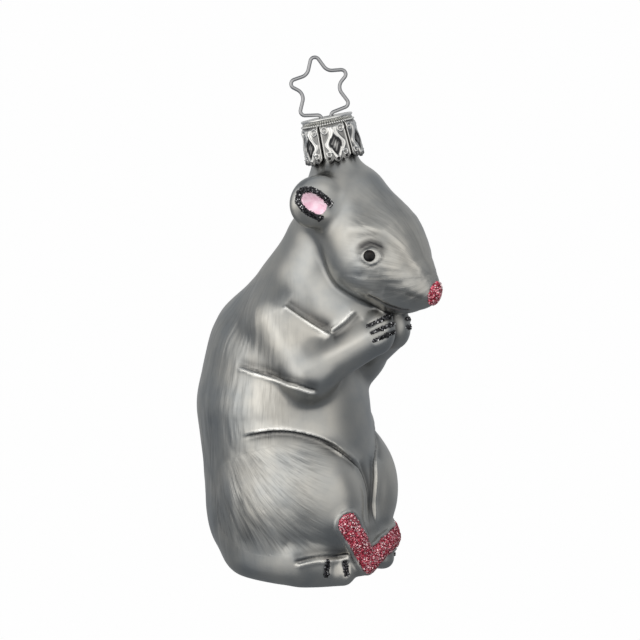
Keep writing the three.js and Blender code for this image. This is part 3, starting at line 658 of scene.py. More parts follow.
def new_tree(name, *inputs):
    """A geometry node tree with a geometry in and out and the named inputs."""
    tree = bpy.data.node_groups.new(name, "GeometryNodeTree")
    tree.interface.new_socket("Geometry", in_out="INPUT", socket_type="NodeSocketGeometry")
    for label, kind in inputs:
        tree.interface.new_socket(label, in_out="INPUT", socket_type=kind)
    tree.interface.new_socket("Geometry", in_out="OUTPUT", socket_type="NodeSocketGeometry")
    source = tree.nodes.new("NodeGroupInput")
    return tree, source.outputs


def end_tree(tree, geometry, material):
    realized = add_node(tree, "GeometryNodeRealizeInstances", links={"Geometry": geometry})
    finish = add_node(tree, "GeometryNodeSetMaterial",
                      links={"Geometry": realized.outputs["Geometry"], "Material": material})
    add_node(tree, "NodeGroupOutput", links={"Geometry": finish.outputs["Geometry"]})
    return tree


# Finishes. A noise's scale is one over the size of its patches, given here in millimetres.

CLOUD = 11.1
SHEEN_PATCH = 6.25
DENT = 1.43
GRIT = 0.3125  # a flake's own size
BLOOM = 1.11
STROKE_LENGTH = 8.33
STROKE_WIDTH = 1.11  # a fine brush's hairs are closer; drawn coarser so that the strokes show
STROKE_TURN = (0, 0.6, -0.6)
TIN_ROUGHNESS = 0.12
WIRE_ROUGHNESS = 0.14


def satin_lacquer(settings):
    """Satin grey lacquer over silvered glass: a soft metal sheen, warm and cool in broad patches, with
    painted shade in the pressed lines, fur grooves and shut-in places, painted highlights on the lines' lips,
    and a fine combed grain."""
    material, tree, surface = new_material("satin_lacquer_on_silvered_glass")
    place = add_node(tree, "ShaderNodeTexCoord").outputs["Object"]
    cloud = add_node(tree, "ShaderNodeTexNoise", links={"Vector": place},
                     inputs={"Scale": 1 / (CLOUD * MM), "Detail": 4})
    tone = add_node(tree, "ShaderNodeValToRGB", links={"Fac": cloud.outputs["Fac"]},
                    stops=((0.34, settings.shade), (0.64, settings.tone)))
    grain = add_node(tree, "ShaderNodeAttribute", attribute_name="combed")
    strands = add_node(tree, "ShaderNodeTexNoise", links={"Vector": grain.outputs["Vector"]},
                       inputs={"Scale": STRANDS, "Detail": 2, "Roughness": 0.6})
    fur = add_node(tree, "ShaderNodeAttribute", attribute_name="fur")
    painted_shade = add_node(tree, "ShaderNodeAttribute", attribute_name="painted_shade")
    stroke = add_node(tree, "ShaderNodeMapRange", links={"Value": strands.outputs["Fac"]},
                      inputs={"From Min": 0.48, "From Max": 0.66, "To Max": 0.3})
    # painted shade: the fur's strands and the stored painted shade darken the tone towards the shade tint
    darkening = add_node(tree, "ShaderNodeMath", operation="MULTIPLY_ADD", use_clamp=True,
                        links={0: stroke.outputs["Result"], 1: fur.outputs["Fac"], 2: painted_shade.outputs["Fac"]})
    shade_tint = add_node(tree, "ShaderNodeMix", data_type="RGBA", blend_type="MULTIPLY",
                      links={"Factor": darkening.outputs["Value"], "A": tone.outputs["Color"]},
                      inputs={"B": (*settings.shade_tint, 1)})
    # painted highlight: the lips of the pressed lines turn pale, and less metallic so that the lamps light
    # them
    painted_highlight = add_node(tree, "ShaderNodeAttribute", attribute_name="painted_highlight")
    highlighted = add_node(tree, "ShaderNodeMix", data_type="RGBA",
                     links={"Factor": painted_highlight.outputs["Fac"], "A": shade_tint.outputs["Result"]},
                     inputs={"B": (*settings.painted_highlight, 1)})
    metal = add_node(tree, "ShaderNodeMapRange", links={"Value": painted_highlight.outputs["Fac"]},
                     inputs={"To Min": 1.0, "To Max": 0.25})
    patches = add_node(tree, "ShaderNodeTexNoise", links={"Vector": place},
                       inputs={"Scale": 1 / (SHEEN_PATCH * MM), "Detail": 3})
    rough = add_node(tree, "ShaderNodeMapRange", links={"Value": patches.outputs["Fac"]},
                     inputs={"To Min": settings.roughness - 0.06, "To Max": settings.roughness + 0.08})
    weighed = add_node(tree, "ShaderNodeMath", operation="MULTIPLY",
                       links={0: strands.outputs["Fac"], 1: fur.outputs["Fac"]})
    bump = add_node(tree, "ShaderNodeBump", links={"Height": weighed.outputs["Value"]},
                    inputs={"Strength": 0.35, "Distance": 0.25 * MM})
    feed(tree, surface, {"Base Color": highlighted.outputs["Result"], "Metallic": metal.outputs["Result"],
                         "Roughness": rough.outputs["Result"], "Normal": bump.outputs["Normal"]})
    return material


def bright_metal(name, bright, dark, roughness):
    """Bright tinned or drawn metal: mirror-like, a little uneven, with painted shade where the pressing is
    deep.
    """
    material, tree, surface = new_material(name)
    place = add_node(tree, "ShaderNodeTexCoord").outputs["Object"]
    # painted shade: the tone darkens towards the shade colour where the stored painted shade is high
    painted_shade = add_node(tree, "ShaderNodeAttribute", attribute_name="painted_shade")
    tone = add_node(tree, "ShaderNodeValToRGB", links={"Fac": painted_shade.outputs["Fac"]},
                    stops=((0.0, bright), (1.0, dark)))
    wear = add_node(tree, "ShaderNodeTexNoise", links={"Vector": place},
                    inputs={"Scale": 1 / (DENT * MM), "Detail": 3})
    rough = add_node(tree, "ShaderNodeMapRange", links={"Value": wear.outputs["Fac"]},
                     inputs={"To Min": roughness * 0.6, "To Max": roughness * 1.5})
    dents = add_node(tree, "ShaderNodeBump", links={"Height": wear.outputs["Fac"]},
                     inputs={"Strength": 0.15, "Distance": 0.1 * MM})
    feed(tree, surface, {"Base Color": tone.outputs["Color"], "Metallic": 1.0,
                         "Roughness": rough.outputs["Result"], "Normal": dents.outputs["Normal"]})
    return material


def glitter_flakes(name, stops):
    """Metallised film flakes: each has its own tint and catches the light by itself."""
    material, tree, surface = new_material(name)
    tint = add_node(tree, "ShaderNodeAttribute", attribute_name="tint")
    tone = add_node(tree, "ShaderNodeValToRGB", links={"Fac": tint.outputs["Fac"]}, stops=stops)
    feed(tree, surface, {"Base Color": tone.outputs["Color"], "Metallic": 0.75, "Roughness": 0.3})
    return material


def glue_bed(name, light, dark):
    """Tinted glue under the flakes: glossy, grainy where flakes have sunk in."""
    material, tree, surface = new_material(name)
    place = add_node(tree, "ShaderNodeTexCoord").outputs["Object"]
    grit = add_node(tree, "ShaderNodeTexVoronoi", links={"Vector": place}, inputs={"Scale": 1 / (GRIT * MM)})
    tone = add_node(tree, "ShaderNodeValToRGB", links={"Fac": grit.outputs["Distance"]},
                    stops=((0.1, light), (0.6, dark)))
    bump = add_node(tree, "ShaderNodeBump", links={"Height": grit.outputs["Distance"]},
                    inputs={"Strength": 0.6, "Distance": 0.1 * MM})
    feed(tree, surface, {"Base Color": tone.outputs["Color"], "Roughness": 0.45,
                         "Normal": bump.outputs["Normal"]})
    return material


def pink_lacquer(settings):
    """Brushed pink lacquer: glossy, thinner and paler along the strokes of the brush."""
    material, tree, surface = new_material("brushed_pink_lacquer")
    place = add_node(tree, "ShaderNodeTexCoord").outputs["Object"]
    across, along = 1 / (STROKE_WIDTH * MM), 1 / (STROKE_LENGTH * MM)
    turned = add_node(tree, "ShaderNodeMapping", links={"Vector": place},
                      inputs={"Rotation": STROKE_TURN, "Scale": (along, across, across)})
    strokes = add_node(tree, "ShaderNodeTexNoise", links={"Vector": turned.outputs["Vector"]},
                       inputs={"Scale": 1, "Detail": 3})
    tone = add_node(tree, "ShaderNodeValToRGB", links={"Fac": strokes.outputs["Fac"]},
                    stops=((0.32, settings.pink_deep), (0.62, settings.pink)))
    bump = add_node(tree, "ShaderNodeBump", links={"Height": strokes.outputs["Fac"]},
                    inputs={"Strength": 0.2, "Distance": 0.1 * MM})
    feed(tree, surface, {"Base Color": tone.outputs["Color"], "Roughness": 0.32,
                         "Normal": bump.outputs["Normal"]})
    return material


def black_gloss():
    """Gloss black lacquer, with a warm brown bloom where it is thin."""
    material, tree, surface = new_material("gloss_black_lacquer")
    place = add_node(tree, "ShaderNodeTexCoord").outputs["Object"]
    bloom = add_node(tree, "ShaderNodeTexNoise", links={"Vector": place}, inputs={"Scale": 1 / (BLOOM * MM)})
    tone = add_node(tree, "ShaderNodeValToRGB", links={"Fac": bloom.outputs["Fac"]},
                    stops=((0.4, linear("#050506")), (0.8, linear("#1D1613"))))
    feed(tree, surface, {"Base Color": tone.outputs["Color"], "Roughness": 0.12, "Specular IOR Level": 0.3})
    return material


# Settings that a user would change


def colour(name, description, code):
    return FloatVectorProperty(name=name, description=description, subtype="COLOR", min=0, max=1,
                               default=linear(code))


def length(name, description, mm, least=0.0):
    return FloatProperty(name=name, description=description, subtype="DISTANCE", default=mm * MM,
                         min=least * MM)


def angle(name, description, degrees):
    return FloatProperty(name=name, description=description, subtype="ANGLE", default=math.radians(degrees))


class LacquerSettings(bpy.types.PropertyGroup):
    tone: colour("Tone", "Warm grey of the lacquer", "#CCCAC4")
    shade: colour("Shade", "Cooler grey in patches", "#ABAEAF")
    # painted shade: the colour that creases, fur grooves and shut-in places darken towards
    shade_tint: colour("Pooled", "Tint where lacquer gathers", "#5C5C60")
    # painted highlight: the pale colour on the lips of the pressed lines
    painted_highlight: colour("Worn", "Pale lips of the pressed lines", "#F4F2EC")
    roughness: FloatProperty(name="Roughness", description="How satin the lacquer is", subtype="FACTOR",
                             default=0.3, min=0, max=1)
    pink: colour("Pink", "Ear lacquer", "#DDC1CB")
    pink_deep: colour("Deep pink", "Ear lacquer laid thick", "#D3A9B8")


class FigureSettings(bpy.types.PropertyGroup):
    voxel: length("Voxel", "Grid for the skin", 0.42, least=0.2)
    eye_dome: length("Eye dome", "How far the eyes stand out", 0.62)


class GlitterSettings(bpy.types.PropertyGroup):
    flake: length("Flake", "Radius of a flake", 0.17)
    density: FloatProperty(name="Density", description="Flakes on a square metre", default=15e6)
    tilt: angle("Tilt", "How far flakes lean", 38)
    grain: length("Bed grain", "Grid for the glue", 0.2, least=0.1)
    seed: IntProperty(name="Seed", description="Seed of the scatter", default=5)


class FittingSettings(bpy.types.PropertyGroup):
    petals: IntProperty(name="Petals", description="Petals of the crown cap", default=6, min=3)
    beads: IntProperty(name="Beads", description="Pressed beads under the rim", default=66, min=12)
    relief: length("Relief", "Height of the pressed ribs", 0.34)
    bend: length("Bend", "Radius of the wire's bends", 1.0)
    metal: colour("Metal", "Tinned metal", "#F1F1EF")
    wire: colour("Wire", "Drawn wire", "#AEAFB2")
    # painted shade: the colour that the cap's pressed recesses darken towards
    recess_shade: colour("Tarnish", "Metal in the hollows", "#353537")


class StudioSettings(bpy.types.PropertyGroup):
    azimuth: angle("Azimuth", "Camera angle round the figure", -58)
    elevation: angle("Elevation", "Camera angle above level", 12)
    lens: FloatProperty(name="Lens", description="Focal length", default=250, min=20, unit="CAMERA")
    pixel: length("Pixel", "What a pixel spans at the figure", 0.2206)
    hook_pixel: FloatVectorProperty(name="Hook", description="Where the hook bears in the picture, in pixels",
                                    size=2, default=(314, 58))
    drop: length("Drop", "Clear height under the figure", 750)


class OrnamentSettings(bpy.types.PropertyGroup):
    lacquer: PointerProperty(type=LacquerSettings)
    figure: PointerProperty(type=FigureSettings)
    glitter: PointerProperty(type=GlitterSettings)
    fittings: PointerProperty(type=FittingSettings)
    studio: PointerProperty(type=StudioSettings)


def settings():
    return bpy.context.scene.ornament


# The blown figure

COARSE = 4  # voxels to a step of the first, coarse grid
FINE_BAND = 1.6  # how far the fine lines may move the skin
CLIP = 1.5


def grid_of(low, step, count, shift=0.0):
    """Points of an upright grid, in three rows."""
    axes = [low[i] + step * (np.arange(count[i]) + shift) for i in range(3)]
    return np.stack([a.ravel() for a in np.meshgrid(*axes, indexing="ij")]).astype(np.float32)


def contour(name, values, background):
    """Corners in grid steps and quads of the surface where a grid of values is zero."""
    volume = openvdb.FloatGrid(background)
    volume.copyFromArray(values)
    points, quads = volume.convertToQuads(isovalue=0.0)
    if not len(quads):
        raise RuntimeError(f"{name} came out empty")
    return points, quads


def skin_net(voxel):
    """Closed mesh of the skin, in the figure's frame."""
    low, high = np.array(FIGURE_BOX)
    count = np.ceil((high - low) / (COARSE * voxel)).astype(int) + 1
    values = bare_skin(grid_of(low, COARSE * voxel, count, 0.5)).reshape(count)
    for axis in range(3):
        values = np.repeat(values, COARSE, axis)
    band = COARSE * voxel * 1.2 + FINE_BAND
    i, j, k = np.nonzero(np.abs(values) < band)
    p = np.stack([low[0] + voxel * i, low[1] + voxel * j, low[2] + voxel * k]).astype(np.float32)
    values = np.clip(values, -band, band)
    values[i, j, k] = skin(p)
    points, quads = contour("glass_skin", np.clip(values, -CLIP, CLIP).astype(np.float32), band)
    p = (points * voxel + low).T.astype(np.float32)
    return settle(skin, p, passes=2).T, quads


def shade(p):
    """How shut in a place on the skin is by the forms about it, from 0 to 1."""
    out = slope_of(bare_skin, p)
    out /= np.maximum(np.sqrt((out ** 2).sum(0)), 0.1)
    open_share = [np.clip(bare_skin(p + out * reach) / reach, 0, 1) for reach in SHADE_REACHES]
    return 1 - sum(open_share) / len(open_share)


def comb_marks(p):
    """Where each point lies in the fur that is strongest there, and how strong that is."""
    regions = comb(p)
    amounts = np.stack([amount for _, _, amount in regions])
    chosen = amounts.argmax(0)
    combed = np.zeros((p.shape[1], 3), np.float32)
    for index, (across, along, _) in enumerate(regions):
        here = chosen == index
        combed[here] = np.stack([across, along * 0.7, np.full_like(across, 7 * index)], 1)[here]
    return combed, amounts.max(0)


class ORNAMENT_OT_blow_figure(bpy.types.Operator):
    """Blow the glass figure into its mould, with its pressed lines and combed fur"""

    bl_idname = "ornament.blow_figure"
    bl_label = "Blow Figure"

    def execute(self, context):
        places, quads = skin_net(settings().figure.voxel / MM * (1))
        mesh = outwards(mesh_of("glass_skin", places + FIGURE_ORIGIN, quads), merge=0)
        piece = new_object("glass_skin", mesh, satin_lacquer(settings().lacquer))
        p = places.T.astype(np.float32)
        painted_highlight = np.zeros(p.shape[1], np.float32)
        # painted shade: darker in the pressed lines, round the lids, in places shut in by the forms about
        # them and in the fur grooves, and none where a lip carries a painted highlight
        darkening = PRESSED_SHADE * (crease_offset(p, painted_highlight) + lid_offset(p))
        darkening += shade(p) * fade(p[2], *SHADE_TOP) + FUR_SHADE * np.clip(fur_offset(p), 0, 1)
        combed, fur = comb_marks(p)
        store(mesh, "painted_shade", np.clip(darkening, 0, 1) * (1 - painted_highlight))
        store(mesh, "painted_highlight", painted_highlight)
        store(mesh, "fur", fur)
        attribute = mesh.attributes.new("combed", "FLOAT_VECTOR", "POINT")
        attribute.data.foreach_set("vector", combed.ravel())
        dress(piece, "figure", "silvered_glass", "glass_figure")
        return {"FINISHED"}


# Coats laid on the glass


def in_figure(places):
    return (places - FIGURE_ORIGIN).T.astype(np.float32)


def on_ear(side):
    """How far out a point lies in an ear's horseshoe, and how far towards its open end."""
    along, depth, up = seen_from(EAR_DISH, side)
    across = along / np.where(along > 0, EAR_SHOE[0], EAR_SHOE[1])
    reach = np.hypot(across, up / EAR_SHOE[2]) + np.maximum(np.abs(depth) - EAR_DISH["radii"][1], 0)
    return reach, along


def nose_region(p):
    return np.sqrt(((p - np.array(NOSE_SPOT[:3], np.float32)[:, None]) ** 2).sum(0)) - NOSE_SPOT[3]


def ear_rim_region(p):
    reach, along = on_ear(ear_side(p))
    band = np.abs(reach - EAR_RING) * EAR_SHOE[2] - EAR_BAND
    return smooth_cut(band, EAR_SHOE_END - along, 0.6)


def ear_lining_region(p):
    reach, along = on_ear(ear_side(p))
    return smooth_cut((reach - EAR_LINING) * EAR_SHOE[2], EAR_SHOE_END - along, 1.5)


def banded(p, lines, band, reach=0.3):
    """Distance to bands of one half width along lines of the right side."""
    side = right_side(p)
    return np.minimum.reduce([limbs(side, [(*point, band) for point in line], reach) for line in lines])


def finger_region(p):
    return banded(p, FINGERS, FINGER_BAND)


def toe_region(p):
    return banded(p, TOES, TOE_BAND)


def coat_bed(name, region, box, lift, material):
    """A coat as a rounded body that lies on the skin where its region is."""
    low, high = np.array(box, float)
    grain = settings().glitter.grain / MM * 1
    count = np.ceil((high - low) / grain).astype(int) + 1
    grid = grid_of(low, grain, count)
    values = np.full(grid.shape[1], 1.0, np.float32)
    near = np.abs(bare_skin(grid)) < CLIP
    near[near] = region(grid[:, near]) < 1
    p = grid[:, near]
    height = skin(p)
    values[near] = np.maximum(smooth_cut(height - lift, -region(p), COAT_EDGE), -height - COAT_ROOT)
    points, quads = contour(name, np.clip(values, -1, 1).reshape(count), 1.0)
    mesh = outwards(mesh_of(name, points * grain + low + FIGURE_ORIGIN, quads))
    store(mesh, "top", fade(skin(in_figure(places_of(mesh))), 0.02, 0.14))
    return new_object(name, mesh, material)


FLAKE_SIZES = (0.6, 1.3)  # smallest and largest, against the common radius
TINT_SEED = 21


def flake_tree():
    """Scatters flakes over a bed, each leaning its own way and with its own tint."""
    tree, source = new_tree("glitter_flakes", ("Flake", "NodeSocketFloat"), ("Density", "NodeSocketFloat"),
                            ("Tilt", "NodeSocketFloat"), ("Seed", "NodeSocketInt"),
                            ("Finish", "NodeSocketMaterial"))
    top = add_node(tree, "GeometryNodeInputNamedAttribute", inputs={"Name": "top"}, data_type="FLOAT")
    share = add_node(tree, "ShaderNodeMath", operation="MULTIPLY",
                     links={0: source["Density"], 1: top.outputs["Attribute"]})
    scatter = add_node(tree, "GeometryNodeDistributePointsOnFaces",
                       links={"Mesh": source["Geometry"], "Density": share.outputs["Value"],
                              "Seed": source["Seed"]})
    lean_back = add_node(tree, "ShaderNodeMath", operation="MULTIPLY", links={0: source["Tilt"]},
                         inputs={1: -1.0})
    low = add_node(tree, "ShaderNodeCombineXYZ",
                   links={"X": lean_back.outputs["Value"], "Y": lean_back.outputs["Value"]})
    high = add_node(tree, "ShaderNodeCombineXYZ", links={"X": source["Tilt"], "Y": source["Tilt"]},
                    inputs={"Z": 2 * math.pi})
    lean = add_node(tree, "FunctionNodeRandomValue", data_type="FLOAT_VECTOR",
                    links={"Min": low.outputs["Vector"], "Max": high.outputs["Vector"],
                           "Seed": source["Seed"]})
    turn = add_node(tree, "FunctionNodeEulerToRotation", links={"Euler": lean.outputs["Value"]})
    stand = add_node(tree, "FunctionNodeRotateRotation", rotation_space="LOCAL",
                     links={"Rotation": scatter.outputs["Rotation"], "Rotate By": turn.outputs["Rotation"]})
    size = add_node(tree, "FunctionNodeRandomValue", data_type="FLOAT", links={"Seed": source["Seed"]},
                    inputs={2: FLAKE_SIZES[0], 3: FLAKE_SIZES[1]})
    flake = add_node(tree, "GeometryNodeMeshCircle", fill_type="NGON", links={"Radius": source["Flake"]},
                     inputs={"Vertices": 6})
    raised = add_node(tree, "ShaderNodeVectorMath", operation="SCALE",
                      links={0: scatter.outputs["Normal"], "Scale": source["Flake"]})
    lifted = add_node(tree, "GeometryNodeSetPosition",
                      links={"Geometry": scatter.outputs["Points"], "Offset": raised.outputs["Vector"]})
    placed = add_node(tree, "GeometryNodeInstanceOnPoints",
                      links={"Points": lifted.outputs["Geometry"], "Instance": flake.outputs["Mesh"],
                             "Rotation": stand.outputs["Rotation"], "Scale": size.outputs[1]})
    tint = add_node(tree, "FunctionNodeRandomValue", data_type="FLOAT", inputs={"Seed": TINT_SEED})
    tinted = add_node(tree, "GeometryNodeStoreNamedAttribute", data_type="FLOAT", domain="INSTANCE",
                      links={"Geometry": placed.outputs["Instances"], "Value": tint.outputs[1]},
                      inputs={"Name": "tint"})
    return end_tree(tree, tinted.outputs["Geometry"], source["Finish"])


GLITTER_STOPS = {
    "red": ((0.0, linear("#72182A")), (0.27, linear("#B53548")), (0.5, linear("#D66073")),
            (0.74, linear("#F0ADB7")), (1.0, linear("#FFECEC"))),
    "black": ((0.0, linear("#08080A")), (0.5, linear("#1D1D20")), (0.78, linear("#4B4B50")),
              (0.93, linear("#A5A5A8")), (1.0, linear("#F0F0F0"))),
}


def lay_glitter(stem, nodes, colour, region, box):
    """A glue bed with its flakes, in red or black, in place of coats of the frame."""
    g = settings().glitter
    stops = GLITTER_STOPS[colour]
    glue, film = f"{colour}_glue", f"{colour}_film_flakes"
    bed_finish = bpy.data.materials.get(glue) or glue_bed(glue, stops[2][1], stops[0][1])
    flake_finish = bpy.data.materials.get(film) or glitter_flakes(film, stops)
    bed = coat_bed(f"{stem}_bed", region, box, GLITTER_LIFT, bed_finish)
    flakes = new_object(f"{stem}_flakes", bed.data.copy())
    tree = bpy.data.node_groups.get("glitter_flakes") or flake_tree()
    modify(flakes, tree, {"Flake": g.flake, "Density": g.density, "Tilt": g.tilt, "Seed": g.seed,
                          "Finish": flake_finish})
    baked(flakes)
    dress(bed, "figure", f"{colour}_glitter", *nodes)
    dress(flakes, "figure", f"{colour}_glitter")


def nodes_named(stem):
    return [name for name in sorted(frame["nodes"]) if name.startswith(stem)]


class ORNAMENT_OT_lay_red_glitter(bpy.types.Operator):
    """Lay red glitter on the nose and the tail"""

    bl_idname = "ornament.lay_red_glitter"
    bl_label = "Lay Red Glitter"

    def execute(self, context):
        lay_glitter("nose_red", ["nose_glitter"], "red", nose_region, NOSE_BOX)
        lay_glitter("tail_red", ["tail_glitter"], "red", tail_region, TAIL_BOX)
        return {"FINISHED"}


class ORNAMENT_OT_lay_black_glitter(bpy.types.Operator):
    """Lay black glitter round the ears and between the fingers and toes"""

    bl_idname = "ornament.lay_black_glitter"
    bl_label = "Lay Black Glitter"

    def execute(self, context):
        lay_glitter("ear_black", nodes_named("ear_rim_glitter"), "black", ear_rim_region, EAR_BOX)
        lay_glitter("finger_black", nodes_named("finger_glitter"), "black", finger_region, FINGER_BOX)
        lay_glitter("toe_black", nodes_named("toe_glitter"), "black", toe_region, TOE_BOX)
        return {"FINISHED"}


class ORNAMENT_OT_paint_ears(bpy.types.Operator):
    """Brush pink lacquer into the ears"""

    bl_idname = "ornament.paint_ears"
    bl_label = "Paint Ears"

    def execute(self, context):
        finish = pink_lacquer(settings().lacquer)
        piece = coat_bed("ear_lacquer", ear_lining_region, EAR_BOX, LACQUER_LIFT, finish)
        dress(piece, "figure", "pink_lacquer", *nodes_named("ear_lining"))
        return {"FINISHED"}


EYE_GROWTH = 1.02  # the drop is drawn a little wider than the node it replaces
EYE_ROOT = 0.3  # how far its back reaches into the glass, against its dome


def lens(middle, outward, radius, dome, rings=10, sides=40):
    """A drop of lacquer: a domed disc that dips into the skin at its edge."""
    out = Vector(outward).normalized()
    u = out.orthogonal().normalized()
    v = out.cross(u)
    points = [Vector(middle) + out * dome]
    for ring in range(1, rings + 1):
        swing = 0.5 * math.pi * ring / rings
        reach, rise = radius * math.sin(swing), dome * math.cos(swing)
        for i in range(sides):
            turn = 2 * math.pi * i / sides
            points.append(Vector(middle) + out * rise + (u * math.cos(turn) + v * math.sin(turn)) * reach)
    points.append(Vector(middle) - out * EYE_ROOT * dome)

    def corner(ring, i):
        return 1 + (ring - 1) * sides + i % sides

    faces = [(0, corner(1, i), corner(1, i + 1)) for i in range(sides)]
    for ring in range(1, rings):
        faces += [(corner(ring, i), corner(ring + 1, i), corner(ring + 1, i + 1), corner(ring, i + 1))
                  for i in range(sides)]
    faces += [(len(points) - 1, corner(rings, i + 1), corner(rings, i)) for i in range(sides)]
    return [tuple(p) for p in points], faces


class ORNAMENT_OT_set_eyes(bpy.types.Operator):
    """Set a drop of black lacquer in each eye"""

    bl_idname = "ornament.set_eyes"
    bl_label = "Set Eyes"

    def execute(self, context):
        finish = black_gloss()
        for node in nodes_named("eye_"):
            places = node_points(node)
            middle = settle(skin, in_figure(places.mean(0)[None]))
            outward = slope_of(bare_skin, middle)[:, 0]
            radius = EYE_GROWTH * 0.5 * float((places.max(0) - places.min(0))[2])
            points, faces = lens(middle[:, 0], outward, radius, settings().figure.eye_dome / MM)
            mesh = mesh_of(f"{node}_drop", np.array(points) + FIGURE_ORIGIN, faces)
            dress(new_object(f"{node}_drop", mesh, finish), "figure", "black_gloss", node)
        return {"FINISHED"}


# The crown cap, in its own frame: z runs up the neck from the cap's top

CAP_HEIGHT = 10.0
CAP_RADIUS = 5.6
CAP_FLARE = 0.9
RIM_BEAD = 0.3  # radius of the rolled rim, and how far in from the cap's side its middle lies
RIM_INSET = 0.1
RIM_LAP = 0.02  # how far the rim reaches over the petals
TOP_DIP = 0.12  # how far the top lies below the rim
SLIT_TOP = -1.75
SLIT_WIDTH = 0.56
PETAL_TURN = 10.5
PETAL_LENGTH = 8.2
LOBES = 3
LOBE_DEPTH = 0.9
FOOT_RISE = 0.7  # how much higher a petal's outer lobes end than its middle one
LEG_HOLE = 1.85
PETAL_ACROSS = 56
PETAL_DOWN = 72
ROUND_SIDES = 96
BEAD = {"radius": 0.24, "out": 0.16, "down": 1.42}

# What is pressed into a petal: places are shares of its half width and length, heights are against the relief
RIB_DOWN = (0.0, 0.12, 0.28, 0.54, 0.72, 0.9, 1.0)
RIB_OUT = (0.3, 0.12, 0.2, 0.74, 0.4, 0.02, 0.02)
RIB_WIDTH = 0.5
RIB_SEAM = {"width": 0.14, "depth": 0.4}
SCROLL = {"out": 0.66, "down": 0.13, "radius": 0.72, "line": 0.18, "height": 0.8, "eye": 0.9}
LEAF = {"out": 0.62, "down": 0.8, "radius": 0.5, "line": 0.16, "height": 0.7, "eye": 0.0}
SCROLL_EYE = 0.26
PETAL_EDGE = {"out": 0.97, "line": 0.16, "height": 0.55}
STUD = {"half_width": 0.46, "half_length": 0.27, "down": 0.55, "height": 0.45}
HATCH_PITCH = 0.62
HATCH_SLANT = 4.0
HATCH_HEIGHT = 0.25
HOLE = {"rise": 0.7, "ring": 0.45, "line": 0.13, "height": 0.6, "depth": 0.5}


def on_neck(points, turn, height):
    """Places points of a fitting's own frame: turned about the neck, at a height along it."""
    spin = Matrix.Rotation(math.radians(turn), 3, "Z")
    lean = Matrix.Rotation(-NECK_LEAN, 3, "X")
    return np.asarray(points) @ np.array(lean @ spin).T + NECK_AXIS * height


def rib_line(down):
    """How far each rib lies from the petal's middle, from its top to its foot."""
    bent = [np.interp(down + shift, RIB_DOWN, RIB_OUT) for shift in (-0.07, -0.035, 0, 0.035, 0.07)]
    return sum(bent) / len(bent)


def petal_relief(across, down, half):
    """Height of the pressing, and the painted shade of its low places: a lozenge of ribs, scrolls above,
    lobes below.
    """
    mm = across * half
    rib_at = rib_line(down)
    height = np.zeros_like(mm)
    for side in (-1, 1):
        off = mm - side * half * rib_at
        rib = np.exp(-((off / RIB_WIDTH) ** 4)) - RIB_SEAM["depth"] * bell(off, 0, RIB_SEAM["width"])
        height += rib * fade(down, 0.02, 0.08) * fade(down, 0.93, 0.88)
        for curl in (SCROLL, LEAF):
            reach = np.hypot(mm - side * curl["out"] * half, (down - curl["down"]) * PETAL_LENGTH)
            height += curl["height"] * bell(reach, curl["radius"], curl["line"])
            height += curl["eye"] * bell(reach, 0, SCROLL_EYE)
    height += PETAL_EDGE["height"] * bell(np.abs(mm), PETAL_EDGE["out"] * half, PETAL_EDGE["line"])
    inside = fade(np.abs(across), rib_at, rib_at - 0.12) * fade(down, 0.2, 0.3) * fade(down, 0.9, 0.8)
    stud = 1 - np.abs(across) / STUD["half_width"] - np.abs(down - STUD["down"]) / STUD["half_length"]
    stud = np.clip(stud, 0, 1)
    hatching = 0.5 + 0.5 * np.cos(2 * math.pi * (mm + HATCH_SLANT * (down - 0.5)) / HATCH_PITCH)
    height = np.clip(height, 0, 1.2) + STUD["height"] * stud
    height += HATCH_HEIGHT * hatching * inside * fade(stud, 0, 0.3)
    # painted shade: darker inside the lozenge and where the relief is low
    return height, np.clip(0.55 * inside + 0.75 - 1.3 * height, 0, 1)


def petal_shell(relief):
    """One petal as a closed shell about angle 0: its points, its faces and the painted shade of each point.
    """
    slit = math.asin(0.5 * SLIT_WIDTH / CAP_RADIUS)
    half_turn = math.pi / settings().fittings.petals - slit
    half = half_turn * (CAP_RADIUS + 0.5 * CAP_FLARE)
    across, down = np.meshgrid(np.linspace(-1, 1, PETAL_ACROSS + 1), np.linspace(0, 1, PETAL_DOWN + 1),
                               indexing="ij")
    lobe = np.sqrt(np.abs(np.sin(0.5 * LOBES * math.pi * (across + 1))))
    foot = -CAP_HEIGHT + LOBE_DEPTH * (1 - lobe) + FOOT_RISE * across ** 2
    z = SLIT_TOP + (foot - SLIT_TOP) * down
    height, painted_shade = petal_relief(across, down, half)
    lobe_at = (np.floor((across + 1) * 0.5 * LOBES).clip(0, LOBES - 1) + 0.5) * 2 / LOBES - 1
    hole = np.hypot((across - lobe_at) * half, z - (-CAP_HEIGHT + HOLE["rise"] + FOOT_RISE * lobe_at ** 2))
    height = height * fade(hole, 0.25, 0.5) + HOLE["height"] * bell(hole, HOLE["ring"], HOLE["line"])
    # painted shade in the hole of each lobe
    painted_shade = np.maximum(painted_shade, fade(hole, 0.32, 0.22))
    outer = CAP_RADIUS - CAP_FLARE * z / CAP_HEIGHT
    raised = outer + relief * (height - HOLE["depth"] * fade(hole, 0.3, 0.15)) * fade(down, 0, 0.03)
    turn = across * half_turn
    layers = [np.stack([r * np.cos(turn), r * np.sin(turn), z], -1).reshape(-1, 3)
              for r in (raised, outer - CAP_SHEET)]
    # painted shade: the inner face of the sheet takes the full shade colour
    painted_shades = np.concatenate([painted_shade.ravel(), np.ones(painted_shade.size)])
    return np.concatenate(layers), shell_faces(*across.shape), painted_shades


